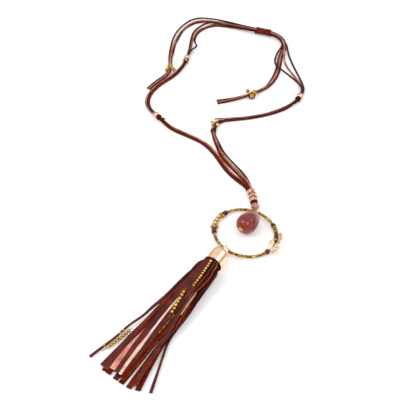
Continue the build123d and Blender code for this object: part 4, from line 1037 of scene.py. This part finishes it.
# CAD nodes that keep their shape take a finish
nodeFinishes = [
    (rosePlate, "rose_bead_1 rose_bead_2 rose_bead_3 rose_bead_4"),
    (peachPlate, "cap_bail"),
    (yellowGold, "small_gold_bead side_gold_bead left_tail_bead right_tail_bead left_tie_beads right_tie_beads"),
    (yellowGold, "stack_pin top_loop filigree_link pearl_wire drop_pin drop_flower"),
    (yellowGold, "upper_beads second_beads strand_beads"),
    (goldThread, "left_tie_thread right_tie_thread upper_thread second_thread strand_thread"),
    (brassPatinaAndShade, "hoop_wire"),
    (burgundyGlass, "burgundy_bead_1 burgundy_bead_2 burgundy_bead_3 burgundy_bead_4 burgundy_bead_5"),
    (pinkGlass, "pink_bead"),
    (crystal, "clear_stones"),
    (pearlNacre, "side_pearl"),
]
for material, names in nodeFinishes:
    for name in names.split():
        for slot in bpy.data.objects[name].material_slots:
            slot.link = "OBJECT"
            slot.material = material
print("nodes finished")


# Table: white paper that fades out of sight, under soft lamps. It glows faintly, painted light that lifts the shadows
# cast on it
# its faint emission is painted light: the paper glows though it is no lamp
paper, tree, shader, place = newMaterial("matt white paper, glowing faintly as painted light", {
    "Roughness": 0.9, "Specular IOR Level": 0.2, "Emission Color": hexColour("#ffffff"), "Emission Strength": 0.1})
paint(tree, shader, noise(tree, place, 60.0, 4.0), [(0.2, "#f6f6f7"), (0.8, "#fbfbfb")])
sheet = {"half": 6.0, "below": 0.0001}  # metres
corners = [(x * sheet["half"], y * sheet["half"], 0) for x, y in ((-1, -1), (1, -1), (1, 1), (-1, 1))]
mesh = bpy.data.meshes.new("table")
mesh.from_pydata(corners, [], [(0, 1, 2, 3)])
mesh.materials.append(paper)
table = bpy.data.objects.new("table", mesh)
table.location.z = -sheet["below"]
bpy.context.scene.collection.objects.link(table)


# place and size in metres, power in watts
lamps = [
    ("left lamp", (-0.727, -0.236, 0.791), (0.26, 0.32), 2.7),
    ("front lamp", (0.178, -0.714, 0.817), (0.22, 0.6), 2.1),
    ("right lamp", (0.792, 0.288, 0.707), (0.3, 0.4), 1.2),
]
lampAim = np.array([-0.01, 0.05, 0.0])
for name, place, size, power in lamps:
    # A soft lamp that looks at the middle of the necklace
    light = bpy.data.lights.new(name, "AREA")
    light.shape, light.size, light.size_y = "RECTANGLE", *size
    light.energy = power
    lamp = bpy.data.objects.new(name, light)
    lamp.location = place
    way = unit(lampAim - np.array(place))
    lamp.rotation_euler = (math.acos(-way[2]), 0.0, math.atan2(way[1], way[0]) - math.pi / 2)
    bpy.context.scene.collection.objects.link(lamp)
# White tent: even above, darker and warmer towards the horizon
tentShades = [(0.0, "#987868"), (0.12, "#b8a698"), (0.34, "#f4f4f4"), (1.0, "#ffffff")]
world = bpy.data.worlds.new("studio")
world.use_nodes = True
tree = world.node_tree
tent = addNode(tree, "ShaderNodeTexCoord")
split = addNode(tree, "ShaderNodeSeparateXYZ", None, {"Vector": tent.outputs["Generated"]})
glow = colourRamp(tree, split.outputs["Z"], tentShades)
tree.links.new(glow, tree.nodes["Background"].inputs["Color"])
tree.nodes["Background"].inputs["Strength"].default_value = 0.97
bpy.context.scene.world = world
bpy.context.scene.view_settings.view_transform = "Standard"
print("table and lamps set")
